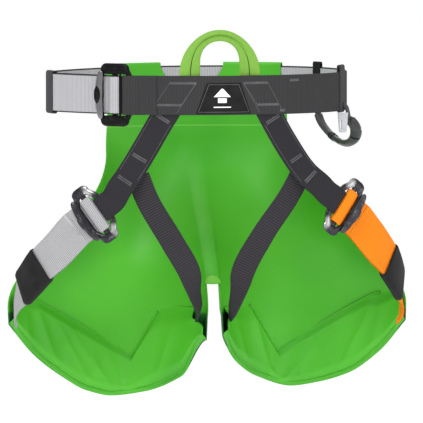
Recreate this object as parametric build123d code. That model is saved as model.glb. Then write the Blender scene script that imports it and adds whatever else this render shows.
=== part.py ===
from build123d import *
import math
import os

# Sit harness with a coated protective seat.
# Frame: +Z up, -Y the wearer's front, +X to the right of someone facing the
# wearer.  The origin is the middle of the waist opening at belt mid-height.
# All lengths are millimetres.

# ---- driving dimensions: waist ring ----
BELT_WIDTH = 45.0
BELT_HALF = BELT_WIDTH / 2
WEB = 2.2                                  # thickness of one layer of webbing
RING_FLAT_RADIUS = 215.8                   # front and back arcs of the ring
RING_HALF_DEPTH = 115.0
RING_FLAT_SHIFT = RING_FLAT_RADIUS - RING_HALF_DEPTH
RIGHT_REACH = 158.0                        # the buckle side reaches further
LEFT_REACH = 184.0

# ---- driving dimensions: straps and buckles ----
STRAP_WIDTH = 30.0                         # risers
INNER_WIDTH = 27.0                         # inner leg straps
LEG_WIDTH = 43.0                           # adjustable leg webbing
CLEAR = 0.5                                # running clearance of moving pieces
LEG_FRAME = 35.0                           # buckle frames, along the webbing
WAIST_FRAME = 44.0
FRAME_THICK = 3.0
SLOT_SLACK = 4.0                           # buckle slot wider than its webbing
FRAME_EDGE = 11.0                          # metal beyond the end of each slot
BAR_HALF = 4.0                             # half the centre bar
FAR_BAR = 7.0                              # outer bars beside the slots
LIP_REACH = 22.0                           # half length of the frame that the lip is drawn for

# ---- driving dimensions: seat ----
SHEET = 2.5                                # solid thickness of the coated sheet
SEAT_OFFSET = 4.4                          # seat sheet outside the back belt
SEAT_TOP = 20.0
SEAT_HALF_TOP = 104.0
SLOT_HALF = 9.0
SLOT_TOP = -221.0
LOBE_CENTRE_X = 118.0
LOBE_INNER_REACH = LOBE_CENTRE_X - SLOT_HALF
LOBE_OUTER_REACH = 131.0
LOBE_FRONT_Y = -45.0
LOBE_DEPTH = 115.0
LOBE_SWEEP = 150.0                         # degrees from inner to outer end
LOBE_STEPS = 10
LOBE_LOW = -358.0
POCKET_DEPTH = 9.0
POCKET_WALL = 1.5
WELD = 4.0

os.makedirs("parts", exist_ok=True)


# ---- small helpers ----
def smooth(value):
    """0 to 1 with level ends."""
    t = min(1.0, max(0.0, value))
    return t * t * (3 - 2 * t)


def prism(outline, plane, depth):
    """A closed outline on a plane, pushed out along its normal."""
    return extrude(plane * make_face(Polyline(*outline, close=True)), depth)


def loft_outlines(outlines):
    """A ruled solid through closed flat outlines of equal corner counts."""
    wires = [Wire.make_polygon([Vector(*p) for p in o], close=True) for o in outlines]
    return Solid.make_loft(wires, ruled=True)


def webbing_frames(centres, facings):
    """For each point of a strap: the point, its way along, across and out."""
    points = [Vector(*c) for c in centres]
    frames = []
    for i, (point, facing) in enumerate(zip(points, facings)):
        along = (points[min(i + 1, len(points) - 1)] - points[max(i - 1, 0)]).normalized()
        across = along.cross(Vector(*facing)).normalized()
        out = across.cross(along).normalized()
        frames.append((point, along, across, out))
    return frames


def ribbon(centres, facings, width, thick=WEB, lift=0.0):
    """Flat webbing through stations, each facing the way its vector points."""
    outlines = []
    for point, along, across, out in webbing_frames(centres, facings):
        middle = point + out * lift
        side = across * (width / 2)
        rise = out * (thick / 2)
        outlines.append([middle + side + rise, middle - side + rise,
                         middle - side - rise, middle + side - rise])
    return loft_outlines(outlines)


# ---- the waist ring: four tangent arcs, addressed by the way they face ----
RIGHT_RADIUS = ((RING_FLAT_RADIUS ** 2 - RIGHT_REACH ** 2 - RING_FLAT_SHIFT ** 2)
                / (2 * (RING_FLAT_RADIUS - RIGHT_REACH)))
LEFT_RADIUS = ((RING_FLAT_RADIUS ** 2 - LEFT_REACH ** 2 - RING_FLAT_SHIFT ** 2)
               / (2 * (RING_FLAT_RADIUS - LEFT_REACH)))
RIGHT_CENTRE = RIGHT_REACH - RIGHT_RADIUS
LEFT_CENTRE = LEFT_RADIUS - LEFT_REACH
RIGHT_TURN = math.degrees(math.atan2(RING_FLAT_SHIFT, RIGHT_CENTRE))
LEFT_TURN = 180 - math.degrees(math.atan2(RING_FLAT_SHIFT, -LEFT_CENTRE))
RING_ARCS = [
    (-RIGHT_TURN, RIGHT_TURN, (RIGHT_CENTRE, 0.0), RIGHT_RADIUS),
    (RIGHT_TURN, LEFT_TURN, (0.0, -RING_FLAT_SHIFT), RING_FLAT_RADIUS),
    (LEFT_TURN, 360 - LEFT_TURN, (LEFT_CENTRE, 0.0), LEFT_RADIUS),
    (360 - LEFT_TURN, 360 - RIGHT_TURN, (0.0, RING_FLAT_SHIFT), RING_FLAT_RADIUS),
]


def ring_arc(angle):
    """The arc that faces this way: its centre and radius."""
    turned = (angle + RIGHT_TURN) % 360 - RIGHT_TURN
    for first, last, centre, radius in RING_ARCS:
        if first <= turned <= last:
            return centre, radius
    return RING_ARCS[0][2], RING_ARCS[0][3]


def ring_point(angle, offset, z=0.0):
    """The ring point facing this way, moved outwards by the offset."""
    centre, radius = ring_arc(angle)
    turn = math.radians(angle)
    reach = radius + offset
    return (centre[0] + reach * math.cos(turn), centre[1] + reach * math.sin(turn), z)


def front_angle(x):
    """Where the front arc stands at this x."""
    return 360 - math.degrees(math.acos(x / RING_FLAT_RADIUS))


def back_angle(x):
    """Where the back arc stands at this x."""
    return math.degrees(math.acos(x / RING_FLAT_RADIUS))


def ring_band(start, end, inner, outer, low, high):
    """A wall that follows the ring between two facing angles."""
    breaks = [start]
    for turn in (0, 360):
        for first, last, centre, radius in RING_ARCS:
            if start < last + turn < end:
                breaks.append(last + turn)
    breaks.append(end)
    edges = []
    for offset in (outer, inner):
        for a, b in zip(breaks[:-1], breaks[1:]):
            centre, radius = ring_arc((a + b) / 2)
            ends = []
            for angle in (a, (a + b) / 2, b):
                turn = math.radians(angle)
                reach = radius + offset
                ends.append((centre[0] + reach * math.cos(turn),
                             centre[1] + reach * math.sin(turn), low))
            edges.append(ThreePointArc(*ends))
    edges.append(Line(ring_point(start, outer, low), ring_point(start, inner, low)))
    edges.append(Line(ring_point(end, outer, low), ring_point(end, inner, low)))
    return extrude(make_face(edges), high - low, dir=(0, 0, 1))


# ---- buckles ----
def buckle_outline(width, length, cut):
    """Eight-cornered outline of a buckle plate."""
    x = length / 2
    y = width / 2
    return [(x, y - cut), (x - cut * 0.7, y), (cut * 0.7 - x, y), (-x, y - cut),
            (-x, cut - y), (cut * 0.7 - x, -y), (x - cut * 0.7, -y), (x, cut - y)]


def buckle_frame(web_width, length):
    """Flat frame with two slots, a centre bar and softened edges."""
    slot = web_width + SLOT_SLACK
    slot_far = length / 2 - FAR_BAR
    plate = prism(buckle_outline(slot + 2 * FRAME_EDGE, length, 14.0),
                  Plane.XY.offset(-FRAME_THICK / 2), FRAME_THICK)
    plate = fillet(plate.edges().filter_by(Axis.Z), 4.0)
    plate = fillet(plate.edges().group_by(Axis.Z)[-1], 1.2)
    plate = fillet(plate.edges().group_by(Axis.Z)[0], 1.2)
    middle = (BAR_HALF + slot_far) / 2
    window = Box(slot_far - BAR_HALF, slot, 3 * FRAME_THICK)
    window = fillet(window.edges().filter_by(Axis.Z), 2.0)
    plate -= Pos(middle, 0, 0) * window
    plate -= Pos(-middle, 0, 0) * window
    return plate


def lock_plate(web_width, length):
    """Curved lip with an oval boss, seated on the frame's far bar."""
    span = web_width + SLOT_SLACK + FRAME_EDGE
    rise = FRAME_THICK / 2 + CLEAR
    lip = [(-24.0, rise), (-14.5, rise), (-14.0, rise + 1.2), (-15.5, rise + 3.0),
           (-19.0, rise + 4.0), (-22.5, rise + 3.0), (-24.0, rise + 1.0)]
    body = extrude(Plane.XZ * make_face(Polyline(*lip, close=True)), span / 2, both=True)
    ends = body.edges().filter_by(GeomType.LINE).filter_by(Axis.Y)
    body = fillet(ends.group_by(Axis.Z)[-1], 1.4)
    trim = prism([(-26, -span / 2), (-10, -span / 2), (-10, span / 2), (-26, span / 2),
                  (-26, span / 2 - 6), (-21, span / 2 - 12), (-21, 12 - span / 2),
                  (-26, 6 - span / 2)], Plane.XY, 12.0)
    body &= trim + Pos(-19, 0, 5) * Box(12, 26, 12)
    boss = Pos(-19.5, 0, rise + 3.0) * extrude(Ellipse(5.0, 10.5), 2.4)
    boss = fillet(boss.edges().group_by(Axis.Z)[-1], 1.0)
    return Pos(LIP_REACH - length / 2, 0, 0) * (body + boss)


def webbing_roll(web_width, tail_drop):
    """Webbing turned over the centre bar and back down through both slots."""
    top = FRAME_THICK / 2
    shell = [(-BAR_HALF - WEB, -top - tail_drop), (-BAR_HALF - WEB, top + 0.4),
             (-BAR_HALF, top + WEB + 0.6), (BAR_HALF, top + WEB + 0.6),
             (BAR_HALF + WEB, top + 0.4), (BAR_HALF + WEB, -top - tail_drop),
             (BAR_HALF, -top - tail_drop), (BAR_HALF, top), (-BAR_HALF, top),
             (-BAR_HALF, -top - tail_drop)]
    half = web_width / 2
    return extrude(Plane.XZ * make_face(Polyline(*shell, close=True)), half, both=True)


# ---- places of the three buckles ----
WAIST_BUCKLE_X = -118.0
WAIST_BUCKLE_LIFT = 5.2                    # frame mid-plane outside the ring
LEG_BUCKLES = {"left": (-145.5, -95.0, -136.0), "right": (141.5, -97.0, -130.0)}
LEG_ALONG = (0.72, -0.36, 0.59)            # from the leg side up to the riser
LEG_FACING = (0.42, -0.90, -0.03)
SIDES = {"left": -1, "right": 1}


def waist_buckle_plane():
    """Local x runs along the belt to the right, local z points outwards."""
    angle = front_angle(WAIST_BUCKLE_X)
    turn = math.radians(angle)
    return Plane(origin=ring_point(angle, WAIST_BUCKLE_LIFT),
                 x_dir=(-math.sin(turn), math.cos(turn), 0),
                 z_dir=(math.cos(turn), math.sin(turn), 0))


def leg_buckle_plane(side):
    """Local x runs from the leg webbing up to the riser."""
    sign = SIDES[side]
    facing = Vector(LEG_FACING[0] * sign, LEG_FACING[1], LEG_FACING[2])
    along = Vector(-LEG_ALONG[0] * sign, LEG_ALONG[1], LEG_ALONG[2])
    along = (along - facing * (along.dot(facing) / facing.dot(facing))).normalized()
    return Plane(origin=LEG_BUCKLES[side], x_dir=along, z_dir=facing)


def local_point(plane, x, y, z):
    """A buckle's own coordinates as a point of the harness."""
    point = plane.from_local_coords(Vector(x, y, z))
    return (point.X, point.Y, point.Z)


def bar_fold(length, half, run):
    """Webbing closed round the fixed bar; the run is where both layers meet."""
    top = FRAME_THICK / 2
    bar_in = length / 2 - FAR_BAR
    bar_out = length / 2
    wrap = [(bar_in - WEB, -top - WEB), (bar_in - WEB, top + WEB), (bar_out + 1.0, top + WEB)]
    fold = extrude(Plane.XZ * make_face(Polyline(*wrap + run, close=True)), half, both=True)
    hole = Pos((bar_in + bar_out) / 2, 0, 0)
    hole *= Box(bar_out - bar_in + 0.2, 2 * half + 2, FRAME_THICK + 0.2)
    return fold - hole


# ---- waist belt ----
FRONT_END = 350.0                          # dark webbing ends on the right turn


def past_buckle(distance):
    """The ring angle this far along the belt from the waist buckle's centre."""
    return front_angle(WAIST_BUCKLE_X) + math.degrees(distance / RING_FLAT_RADIUS)


def waist_belt_front():
    """Dark webbing with its end folded round the buckle's fixed bar."""
    start = WAIST_FRAME / 2 + 9.0
    belt = ring_band(past_buckle(start), FRONT_END, -WEB / 2, WEB / 2, -BELT_HALF, BELT_HALF)
    folded = ring_band(past_buckle(start + 8.0), past_buckle(start + 23.0), WEB / 2, 1.5 * WEB,
                       -BELT_HALF, BELT_HALF)
    run = [(start + 10.0, -5.9), (start + 10.0, -9.6), (start + 2.0, -9.0),
           (WAIST_FRAME / 2 - 2.0, -FRAME_THICK / 2 - WEB)]
    fold = waist_buckle_plane().location * bar_fold(WAIST_FRAME, BELT_HALF, run)
    return belt + folded + fold


def waist_belt_back():
    """Light webbing from the right turn round the back to the buckle."""
    end = 360 + past_buckle(-BAR_HALF - WEB - 1.0)
    return ring_band(FRONT_END, end, -WEB / 2, WEB / 2, -BELT_HALF, BELT_HALF)


def waist_belt_tail():
    """The adjusting end: over the centre bar, then back along the belt."""
    plane = waist_buckle_plane()
    half = BELT_HALF - 0.4
    inner = WEB / 2 + 0.2
    end = past_buckle(-BAR_HALF)
    tail = ring_band(172.0, end, inner, inner + WEB, -half, half)
    roll = plane.location * webbing_roll(2 * half, 1.2)
    return tail + roll


def belt_keeper():
    """Closed band round both layers, free to travel round the left turn."""
    inner = -WEB / 2 - CLEAR
    outer = 1.5 * WEB + 0.2 + CLEAR
    wall = 1.6
    high = BELT_HALF + CLEAR
    ring = ring_band(179.0, 205.0, inner - wall, outer + wall, -high - wall, high + wall)
    hole = ring_band(177.0, 207.0, inner, outer, -high, high)
    return ring - hole


def label_patch():
    """Trapezium patch between the risers."""
    face = 0.9
    low = -21.4
    high = 14.8
    band = ring_band(front_angle(-34.0), front_angle(34.0), WEB / 2, WEB / 2 + face, low, high)
    shape = prism([(-32.0, low), (32.0, low), (19.7, high), (-19.7, high)],
                  Plane.XZ.offset(60.0), 100.0)
    return band & shape


# ---- front attachment loop ----
LOOP_SPREAD = 34.5                         # middle of each leg from the centre
LOOP_WIDTH = 24.0
LOOP_THICK = 4.0
LOOP_APEX = 68.0
LOOP_AXIS_Z = BELT_HALF + 3.4
LOOP_INSET = WEB / 2 + 2 * WEB + 0.5       # clear of the risers behind the belt
LOOP_Y = -(RING_HALF_DEPTH - LOOP_INSET - LOOP_THICK / 2)


def attachment_loop():
    """Doubled webbing arch: wide at its legs, folded narrow at its crown."""
    stations = 12
    outlines = []
    rise = LOOP_APEX - LOOP_AXIS_Z - LOOP_THICK / 2 - CLEAR
    for i in range(stations + 1):
        turn = math.pi * i / stations
        crown = math.sin(turn)
        middle = Vector(-LOOP_SPREAD * math.cos(turn), LOOP_Y,
                        LOOP_AXIS_Z + LOOP_THICK / 2 + CLEAR + rise * crown ** 0.85)
        radial = Vector(-math.cos(turn), 0, 0.9 * crown).normalized()
        half = (LOOP_WIDTH - (LOOP_WIDTH - 12.5) * crown ** 1.3) / 2
        thick = LOOP_THICK / 2 + 2.2 * crown ** 2
        deep = Vector(0, thick, 0)
        side = radial * half
        outlines.append([middle + side + deep, middle - side + deep,
                         middle - side - deep, middle + side - deep])
    return loft_outlines(outlines)


def attachment_loop_base():
    """The two legs of the loop where they are sewn behind the belt."""
    legs = []
    for x in (-LOOP_SPREAD, LOOP_SPREAD):
        inner = -LOOP_INSET - LOOP_THICK
        start = front_angle(x - LOOP_WIDTH / 2)
        end = front_angle(x + LOOP_WIDTH / 2)
        legs.append(ring_band(start, end, inner, -LOOP_INSET, -BELT_HALF + 1.0, BELT_HALF + 0.4))
    return Compound(legs)


# ---- gear loop on the right turn ----
GEAR_REAR_ANGLE = 39.0
GEAR_FRONT_ANGLE = -27.5
GEAR_PIVOT_Z = -27.0
GEAR_TOP = -33.0
GEAR_PATH = [(136.8, 61.5, GEAR_TOP), (139.2, 56.0, -41.0), (144.5, 44.0, -50.5),
             (152.4, 25.0, -59.5), (160.3, 0.0, -62.6), (165.6, -19.0, -56.5),
             (165.6, -34.0, -46.0), (161.5, -42.5, -38.0), (156.5, -46.0, GEAR_TOP)]
GEAR_FACING = (1, 0.2, -0.5)
GEAR_WIDE = 5.6
GEAR_THIN = 3.2
STRAP_WALL = 1.6


def gear_loop():
    """Moulded loop: an oval bar carried round a hanging U."""
    frames = webbing_frames(GEAR_PATH, [GEAR_FACING] * len(GEAR_PATH))
    rings = []
    for point, along, across, out in frames:
        oval = Ellipse(GEAR_WIDE, GEAR_THIN)
        rings.append(Plane(origin=point, x_dir=out, z_dir=along) * oval)
    return loft(rings)


def gear_band(index, blend, spread):
    """A tape ring round the moulded loop, between two points of its path."""
    start = Vector(*GEAR_PATH[index])
    end = Vector(*GEAR_PATH[index + 1])
    point = start + (end - start) * blend
    along = (end - start).normalized()
    across = along.cross(Vector(*GEAR_FACING)).normalized()
    out = across.cross(along)
    plane = Plane(origin=point - along * spread / 2, x_dir=out, z_dir=along)
    ring = Ellipse(GEAR_WIDE + 0.8, GEAR_THIN + 0.8)
    return plane.location * extrude(ring, spread)


def gear_loop_bands(loop):
    """Three tape rings: two close together at the rear, one at the front."""
    bands = [gear_band(2, 0.35, 1.6), gear_band(2, 0.75, 1.6), gear_band(5, 0.25, 1.6)]
    return Compound([(band - loop).solids()[0] for band in bands])


def gear_strap(angle, foot, rise):
    """Black webbing round the belt, standing above it, with a foot that holds the loop."""
    gap = 0.1
    half_turn = 3.0
    inner = -WEB / 2 - gap
    outer = WEB / 2 + gap
    high = BELT_HALF + gap
    start = angle - half_turn
    end = angle + half_turn
    ring = ring_band(start, end, inner - STRAP_WALL, outer + STRAP_WALL,
                     -high - STRAP_WALL, high + rise + STRAP_WALL)
    ring -= ring_band(start - 2, end + 2, inner, outer, -high, high + rise)
    tab = ring_band(start + 0.6, end - 0.6, foot - 1.2, foot + 1.2, GEAR_PIVOT_Z - 1.5, -high)
    return ring + tab


def gear_loop_tongue():
    """Tapered light tab below the front strap, with a slot for a tool clip."""
    top = -BELT_HALF - STRAP_WALL - 0.2
    low = -47.0
    blade = [(-6.3, top), (6.3, top), (4.6, low + 1.5), (3.2, low), (-3.2, low), (-4.6, low + 1.5)]
    slot = [(-4.0, -33.5), (-1.8, -32.5), (-1.6, -42.5), (-3.4, -43.0)]
    plane = Plane(origin=(147.0, -52.8, 0), x_dir=(0.95, 0.31, 0), z_dir=(0.31, -0.95, 0))
    return plane.location * (extrude(make_face(Polyline(*blade, close=True)), 2.0)
                             - extrude(make_face(Polyline(*slot, close=True)), 2.0))


# ---- risers and leg straps: hand-set stations down the front of each thigh ----
RISER_TOPS = {"left": [(-46.0, 12.0), (-66.7, -22.5), (-73.5, -34.0)],
              "right": [(38.5, 12.0), (55.8, -22.5), (62.3, -34.0)]}
RISER_CENTRES = {
    "left": [(-88.0, -101.5, -60.0), (-107.0, -103.5, -90.0)],
    "right": [(76.4, -102.0, -60.0), (98.0, -105.0, -91.0)],
}
RISER_BENDS = {"left": (23.0, 7.0), "right": (20.8, -2.2)}    # beyond the buckle, and across it
RISER_FACINGS = [(0.30, -0.95, 0.0), (0.36, -0.93, 0.0)]
RISER_INSET = WEB / 2 + WEB + 0.25         # middle of the riser behind the belt
INNER_CENTRES = {
    "left": [(-97.0, -100.5, -92.0), (-87.0, -99.0, -117.0), (-57.0, -92.0, -167.0),
             (-33.0, -80.0, -208.0), (-25.5, -68.0, -232.0)],
    "right": [(91.5, -100.0, -91.0), (80.0, -99.2, -113.0), (49.0, -92.0, -161.0),
              (28.0, -80.0, -203.0), (22.5, -68.0, -232.0)],
}
INNER_FACINGS = [(0.30, -0.95, -0.05), (0.28, -0.95, -0.10), (0.05, -0.98, -0.20),
                 (-0.40, -0.85, -0.30), (-0.80, -0.50, -0.25)]
LEG_CENTRES = {
    "left": [(-186.0, -65.0, -180.0), (-199.0, -52.5, -194.5), (-209.0, -37.0, -210.5),
             (-218.0, -20.0, -226.0), (-222.0, -9.0, -237.0)],
    "right": [(186.0, -66.0, -178.0), (199.0, -53.5, -193.0), (209.0, -38.0, -209.5),
              (218.0, -21.0, -225.0), (222.0, -9.0, -237.0)],
}
LEG_FACINGS = [(0.60, -0.80, 0.0), (0.76, -0.65, 0.03), (0.86, -0.50, 0.06),
               (0.93, -0.35, 0.08), (0.99, -0.10, 0.05)]
LEG_FIRST = (-30.0, -6.2)                  # in the buckle's own x and z
SLEEVE_SPAN = slice(1, 4)


def faced(facings, sign):
    """The same facings on either side of the harness."""
    return [(x * sign, y, z) for x, y, z in facings]


# ---- the seat: level sections that change from the belt's arc to two thighs ----
def seat_point(index, z):
    """Right-hand half of a level section; index runs from the centre out."""
    share = index / LOBE_STEPS
    turn = math.radians(LOBE_SWEEP * share)
    reach = LOBE_INNER_REACH if turn < math.pi / 2 else LOBE_OUTER_REACH
    low_x = LOBE_CENTRE_X - reach * math.cos(turn)
    low_y = LOBE_FRONT_Y + LOBE_DEPTH * math.sin(turn)
    high_x = SLOT_HALF + (SEAT_HALF_TOP - SLOT_HALF) * share
    high_y = math.sqrt((RING_FLAT_RADIUS + SEAT_OFFSET) ** 2 - high_x ** 2) - RING_FLAT_SHIFT
    side = smooth((-75.0 - z) / 175.0)
    front = smooth((-55.0 - z) / (205.0 - 95.0 * share))
    tuck = 12.0 * max(0.0, (SLOT_TOP - z) / 130.0) ** 2
    x = high_x + (low_x - high_x) * side
    y = high_y + (low_y - high_y) * front
    return x, y, tuck


def seat_row(z, inset):
    """Points of one half section, moved towards the wearer by the inset."""
    raw = [seat_point(i, z) for i in range(LOBE_STEPS + 1)]
    row = []
    for i, (x, y, tuck) in enumerate(raw):
        before = raw[i - 1] if i else (-x, y, tuck)
        after = raw[min(i + 1, LOBE_STEPS)]
        dx = after[0] - before[0]
        dy = after[1] - before[1]
        size = math.hypot(dx, dy)
        move = inset + tuck
        row.append((x + dy / size * move, y - dx / size * move))
    return row


def lobe_shell(sign, levels, near, far):
    """A wall of one thigh lobe between two insets."""
    outlines = []
    for z in levels:
        back = [(sign * x, y, z) for x, y in seat_row(z, near)]
        front = [(sign * x, y, z) for x, y in seat_row(z, far)]
        outlines.append(back + front[::-1])
    return loft_outlines(outlines)


def seat_back(levels, near, far):
    """The undivided sheet between the belt and the slot."""
    outlines = []
    for z in levels:
        back = seat_row(z, near)
        front = seat_row(z, far)
        outline = [(-x, y, z) for x, y in back[::-1]] + [(x, y, z) for x, y in back]
        outline += [(x, y, z) for x, y in front[::-1]] + [(-x, y, z) for x, y in front]
        outlines.append(outline)
    return loft_outlines(outlines)


HEMS = {
    "left": [(0.0, -270.0), (-9.0, -285.0), (-24.0, -330.0), (-64.0, -350.0),
             (-104.0, -355.0), (-135.0, -349.0), (-165.0, -333.0), (-198.0, -308.0),
             (-230.0, -270.0), (-260.0, -240.0)],
    "right": [(0.0, -265.0), (9.0, -279.0), (30.0, -314.0), (57.0, -333.0),
              (104.0, -346.0), (137.0, -342.0), (174.0, -331.0), (207.0, -305.0),
              (234.0, -264.0), (260.0, -240.0)],
}
WELD_LINES = {
    "left": [(0.0, -252.0), (-20.0, -250.0), (-48.0, -250.0), (-79.0, -309.0),
             (-160.0, -262.0), (-205.0, -238.0), (-260.0, -225.0)],
    "right": [(0.0, -252.0), (20.0, -250.0), (55.0, -252.0), (86.0, -306.0),
              (160.0, -262.0), (198.0, -240.0), (260.0, -225.0)],
}
UPPER_LEVELS = [SEAT_TOP, -30.0, -60.0, -85.0, -105.0, -125.0, -145.0, -165.0, -185.0,
                -203.0, SLOT_TOP]
LOWER_LEVELS = [SLOT_TOP, -240.0, -262.0, -285.0, -310.0, -335.0, LOBE_LOW]
DEEP_PLANE = Plane.XZ.offset(200.0)


def below(line, drop=0.0):
    """The space under a front-view line, through the whole depth."""
    lowered = [(x, z - drop) for x, z in line]
    ends = [(line[-1][0], -420.0), (line[0][0], -420.0)]
    return prism(lowered + ends, DEEP_PLANE, -400.0)


def seat_panel():
    """One coated sheet: back panel and two thigh lobes either side of a slot."""
    sheet = seat_back(UPPER_LEVELS, 0.0, SHEET)
    for side, sign in SIDES.items():
        lobe = lobe_shell(sign, LOWER_LEVELS, 0.0, SHEET)
        sheet += lobe - below(HEMS[side])
    return sheet


def seat_pocket(side):
    """Front layer welded along its top and hem: a tunnel for the leg strap."""
    sign = SIDES[side]
    levels = LOWER_LEVELS
    deep = SHEET + POCKET_DEPTH
    inside = below(WELD_LINES[side]) - below(HEMS[side])
    cavity = below(WELD_LINES[side], WELD) - below(HEMS[side], -WELD)
    layer = lobe_shell(sign, levels, SHEET, deep) & inside
    tunnel = lobe_shell(sign, levels, SHEET - 0.2, deep - POCKET_WALL)
    return layer - (tunnel & cavity)


def tunnel_strap_route(side):
    """Middle of the strap inside the pocket, from the inner mouth outwards."""
    sign = SIDES[side]
    heights = [-263.0, -275.0, -289.0, -304.0, -319.0, -329.0, -328.0, -315.0, -296.0,
               -273.0, -250.0]
    inset = SHEET + (POCKET_DEPTH - POCKET_WALL) / 2
    centres = []
    facings = []
    for i, z in enumerate(heights):
        x, y = seat_row(z, inset)[i]
        bx, by = seat_row(z, 0.0)[i]
        centres.append((sign * x, y, z))
        facings.append((sign * (x - bx), y - by, 0.0))
    return centres, facings


def tunnel_strap(side):
    """Webbing that carries the thigh, hidden in the pocket."""
    centres, facings = tunnel_strap_route(side)
    return ribbon(centres, facings, STRAP_WIDTH - 10.0, 1.4)


def seat_flap(start_x, end_x):
    """Seat sheet folded over the top of the back belt."""
    start = back_angle(end_x)
    end = back_angle(start_x)
    gap = 0.4
    near = -WEB / 2 - gap
    far = SEAT_OFFSET
    low = BELT_HALF + gap
    flap = ring_band(start, end, near - 1.6, near, -BELT_HALF + 4, low + 1.6)
    flap += ring_band(start, end, near - 1.6, far, low, low + 1.6)
    flap += ring_band(start, end, far - 1.6, far, SEAT_TOP, low + 1.6)
    return flap


def crotch_tab():
    """Half-round patch above the slot, on the wearer's side of the sheet."""
    z = SLOT_TOP + 1.0
    x, y = seat_row(z, SHEET)[0]
    ux, uy = seat_row(z + 12.0, SHEET)[0]
    up = Vector(0, uy - y, 12.0).normalized()
    out = up.cross(Vector(1, 0, 0))
    if out.Y > 0:
        out = out * -1
    disc = make_face([Line((-9, 0), (9, 0)), ThreePointArc((9, 0), (0, 9), (-9, 0))])
    origin = Vector(0, y, z) + out * 0.9
    plane = Plane(origin=origin, x_dir=Vector(1, 0, 0), z_dir=up.cross(Vector(1, 0, 0)))
    return plane.location * extrude(disc, 0.8, both=True)


# ---- leg pieces ----
def leg_sleeve(side):
    """Smooth black sleeve round the webbing and its tail."""
    centres = LEG_CENTRES[side][SLEEVE_SPAN]
    facings = faced(LEG_FACINGS[SLEEVE_SPAN], SIDES[side])
    tube = ribbon(centres, facings, LEG_WIDTH + 4.4, 10.0, 1.3)
    hole = ribbon(centres, facings, LEG_WIDTH + 1.6, 7.8, 1.3)
    return tube - hole


def leg_webbing(side):
    """Coloured webbing from behind the buckle to the outer pocket mouth."""
    plane = leg_buckle_plane(side)
    start = local_point(plane, -13.0, 0, -5.4)
    first = local_point(plane, LEG_FIRST[0], 0, LEG_FIRST[1])
    centres = [start, first] + LEG_CENTRES[side]
    facings = faced([LEG_FACING, LEG_FACING] + LEG_FACINGS, SIDES[side])
    return ribbon(centres, facings, LEG_WIDTH)


def leg_tail(side):
    """The adjusting end of the leg webbing, over the bar and down the leg."""
    plane = leg_buckle_plane(side)
    lift = WEB + 0.3
    centres = [local_point(plane, -BAR_HALF - WEB / 2, 0, -2.9),
               local_point(plane, -13.0, 0, -2.9),
               local_point(plane, LEG_FIRST[0], 0, LEG_FIRST[1] + lift)]
    facings = [LEG_FACING, LEG_FACING, LEG_FACING] + LEG_FACINGS[:4]
    facings = faced(facings, SIDES[side])
    for centre, facing in zip(LEG_CENTRES[side][:4], facings[3:]):
        out = Vector(*facing).normalized() * lift
        centres.append((centre[0] + out.X, centre[1] + out.Y, centre[2] + out.Z))
    tail = ribbon(centres, facings, LEG_WIDTH)
    return tail + plane.location * webbing_roll(LEG_WIDTH, 1.0)


def riser(side):
    """Doubled webbing from behind the belt down to the leg buckle's bar."""
    sign = SIDES[side]
    plane = leg_buckle_plane(side)
    centres = []
    facings = []
    for x, z in RISER_TOPS[side]:
        centres.append(ring_point(front_angle(x), -RISER_INSET, z))
        turn = math.radians(front_angle(x))
        facings.append((math.cos(turn), math.sin(turn), 0))
    reach = LEG_FRAME / 2
    bend = RISER_BENDS[side]
    centres += RISER_CENTRES[side] + [local_point(plane, reach + bend[0], bend[1], -2.5),
                                      local_point(plane, reach + 4.8, bend[1] * 0.1, -1.2)]
    facings += faced(RISER_FACINGS + [LEG_FACING, LEG_FACING], sign)
    strap = ribbon(centres, facings, STRAP_WIDTH, 1.8 * WEB)
    run = [(reach + 6.0, 0.9), (reach + 6.0, -3.0), (reach, -FRAME_THICK / 2 - WEB)]
    return strap + plane.location * bar_fold(LEG_FRAME, STRAP_WIDTH / 2, run)


def inner_leg_strap(side):
    """Webbing from under the riser, down to the inner pocket mouth."""
    sign = SIDES[side]
    mouth = tunnel_strap_route(side)[0][0]
    centres = INNER_CENTRES[side] + [(mouth[0], mouth[1] - 14.0, mouth[2] + 16.0)]
    facings = faced(INNER_FACINGS + [(-1.0, 0.2, -0.1)], sign)
    return ribbon(centres, facings, INNER_WIDTH)


# ---- build and write every piece ----
pieces = {
    "waist_belt_front": waist_belt_front(),
    "waist_belt_back": waist_belt_back(),
    "waist_belt_tail": waist_belt_tail(),
    "belt_keeper": belt_keeper(),
    "waist_buckle_frame": waist_buckle_plane().location * buckle_frame(BELT_WIDTH, WAIST_FRAME),
    "waist_buckle_lock_plate": waist_buckle_plane().location * lock_plate(BELT_WIDTH, WAIST_FRAME),
    "label_patch": label_patch(),
    "attachment_loop": attachment_loop(),
    "attachment_loop_base": attachment_loop_base(),
    "gear_loop": gear_loop(),
    "gear_loop_strap_rear": gear_strap(GEAR_REAR_ANGLE, 0.0, 4.5),
    "gear_loop_strap_front": gear_strap(GEAR_FRONT_ANGLE, 1.4, 6.5),
    "gear_loop_tongue": gear_loop_tongue(),
    "seat_panel": seat_panel(),
    "seat_flap_left": seat_flap(-108.0, -41.0),
    "seat_flap_right": seat_flap(33.0, 98.0),
    "crotch_tab": crotch_tab(),
}
pieces["gear_loop_bands"] = gear_loop_bands(pieces["gear_loop"])
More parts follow.
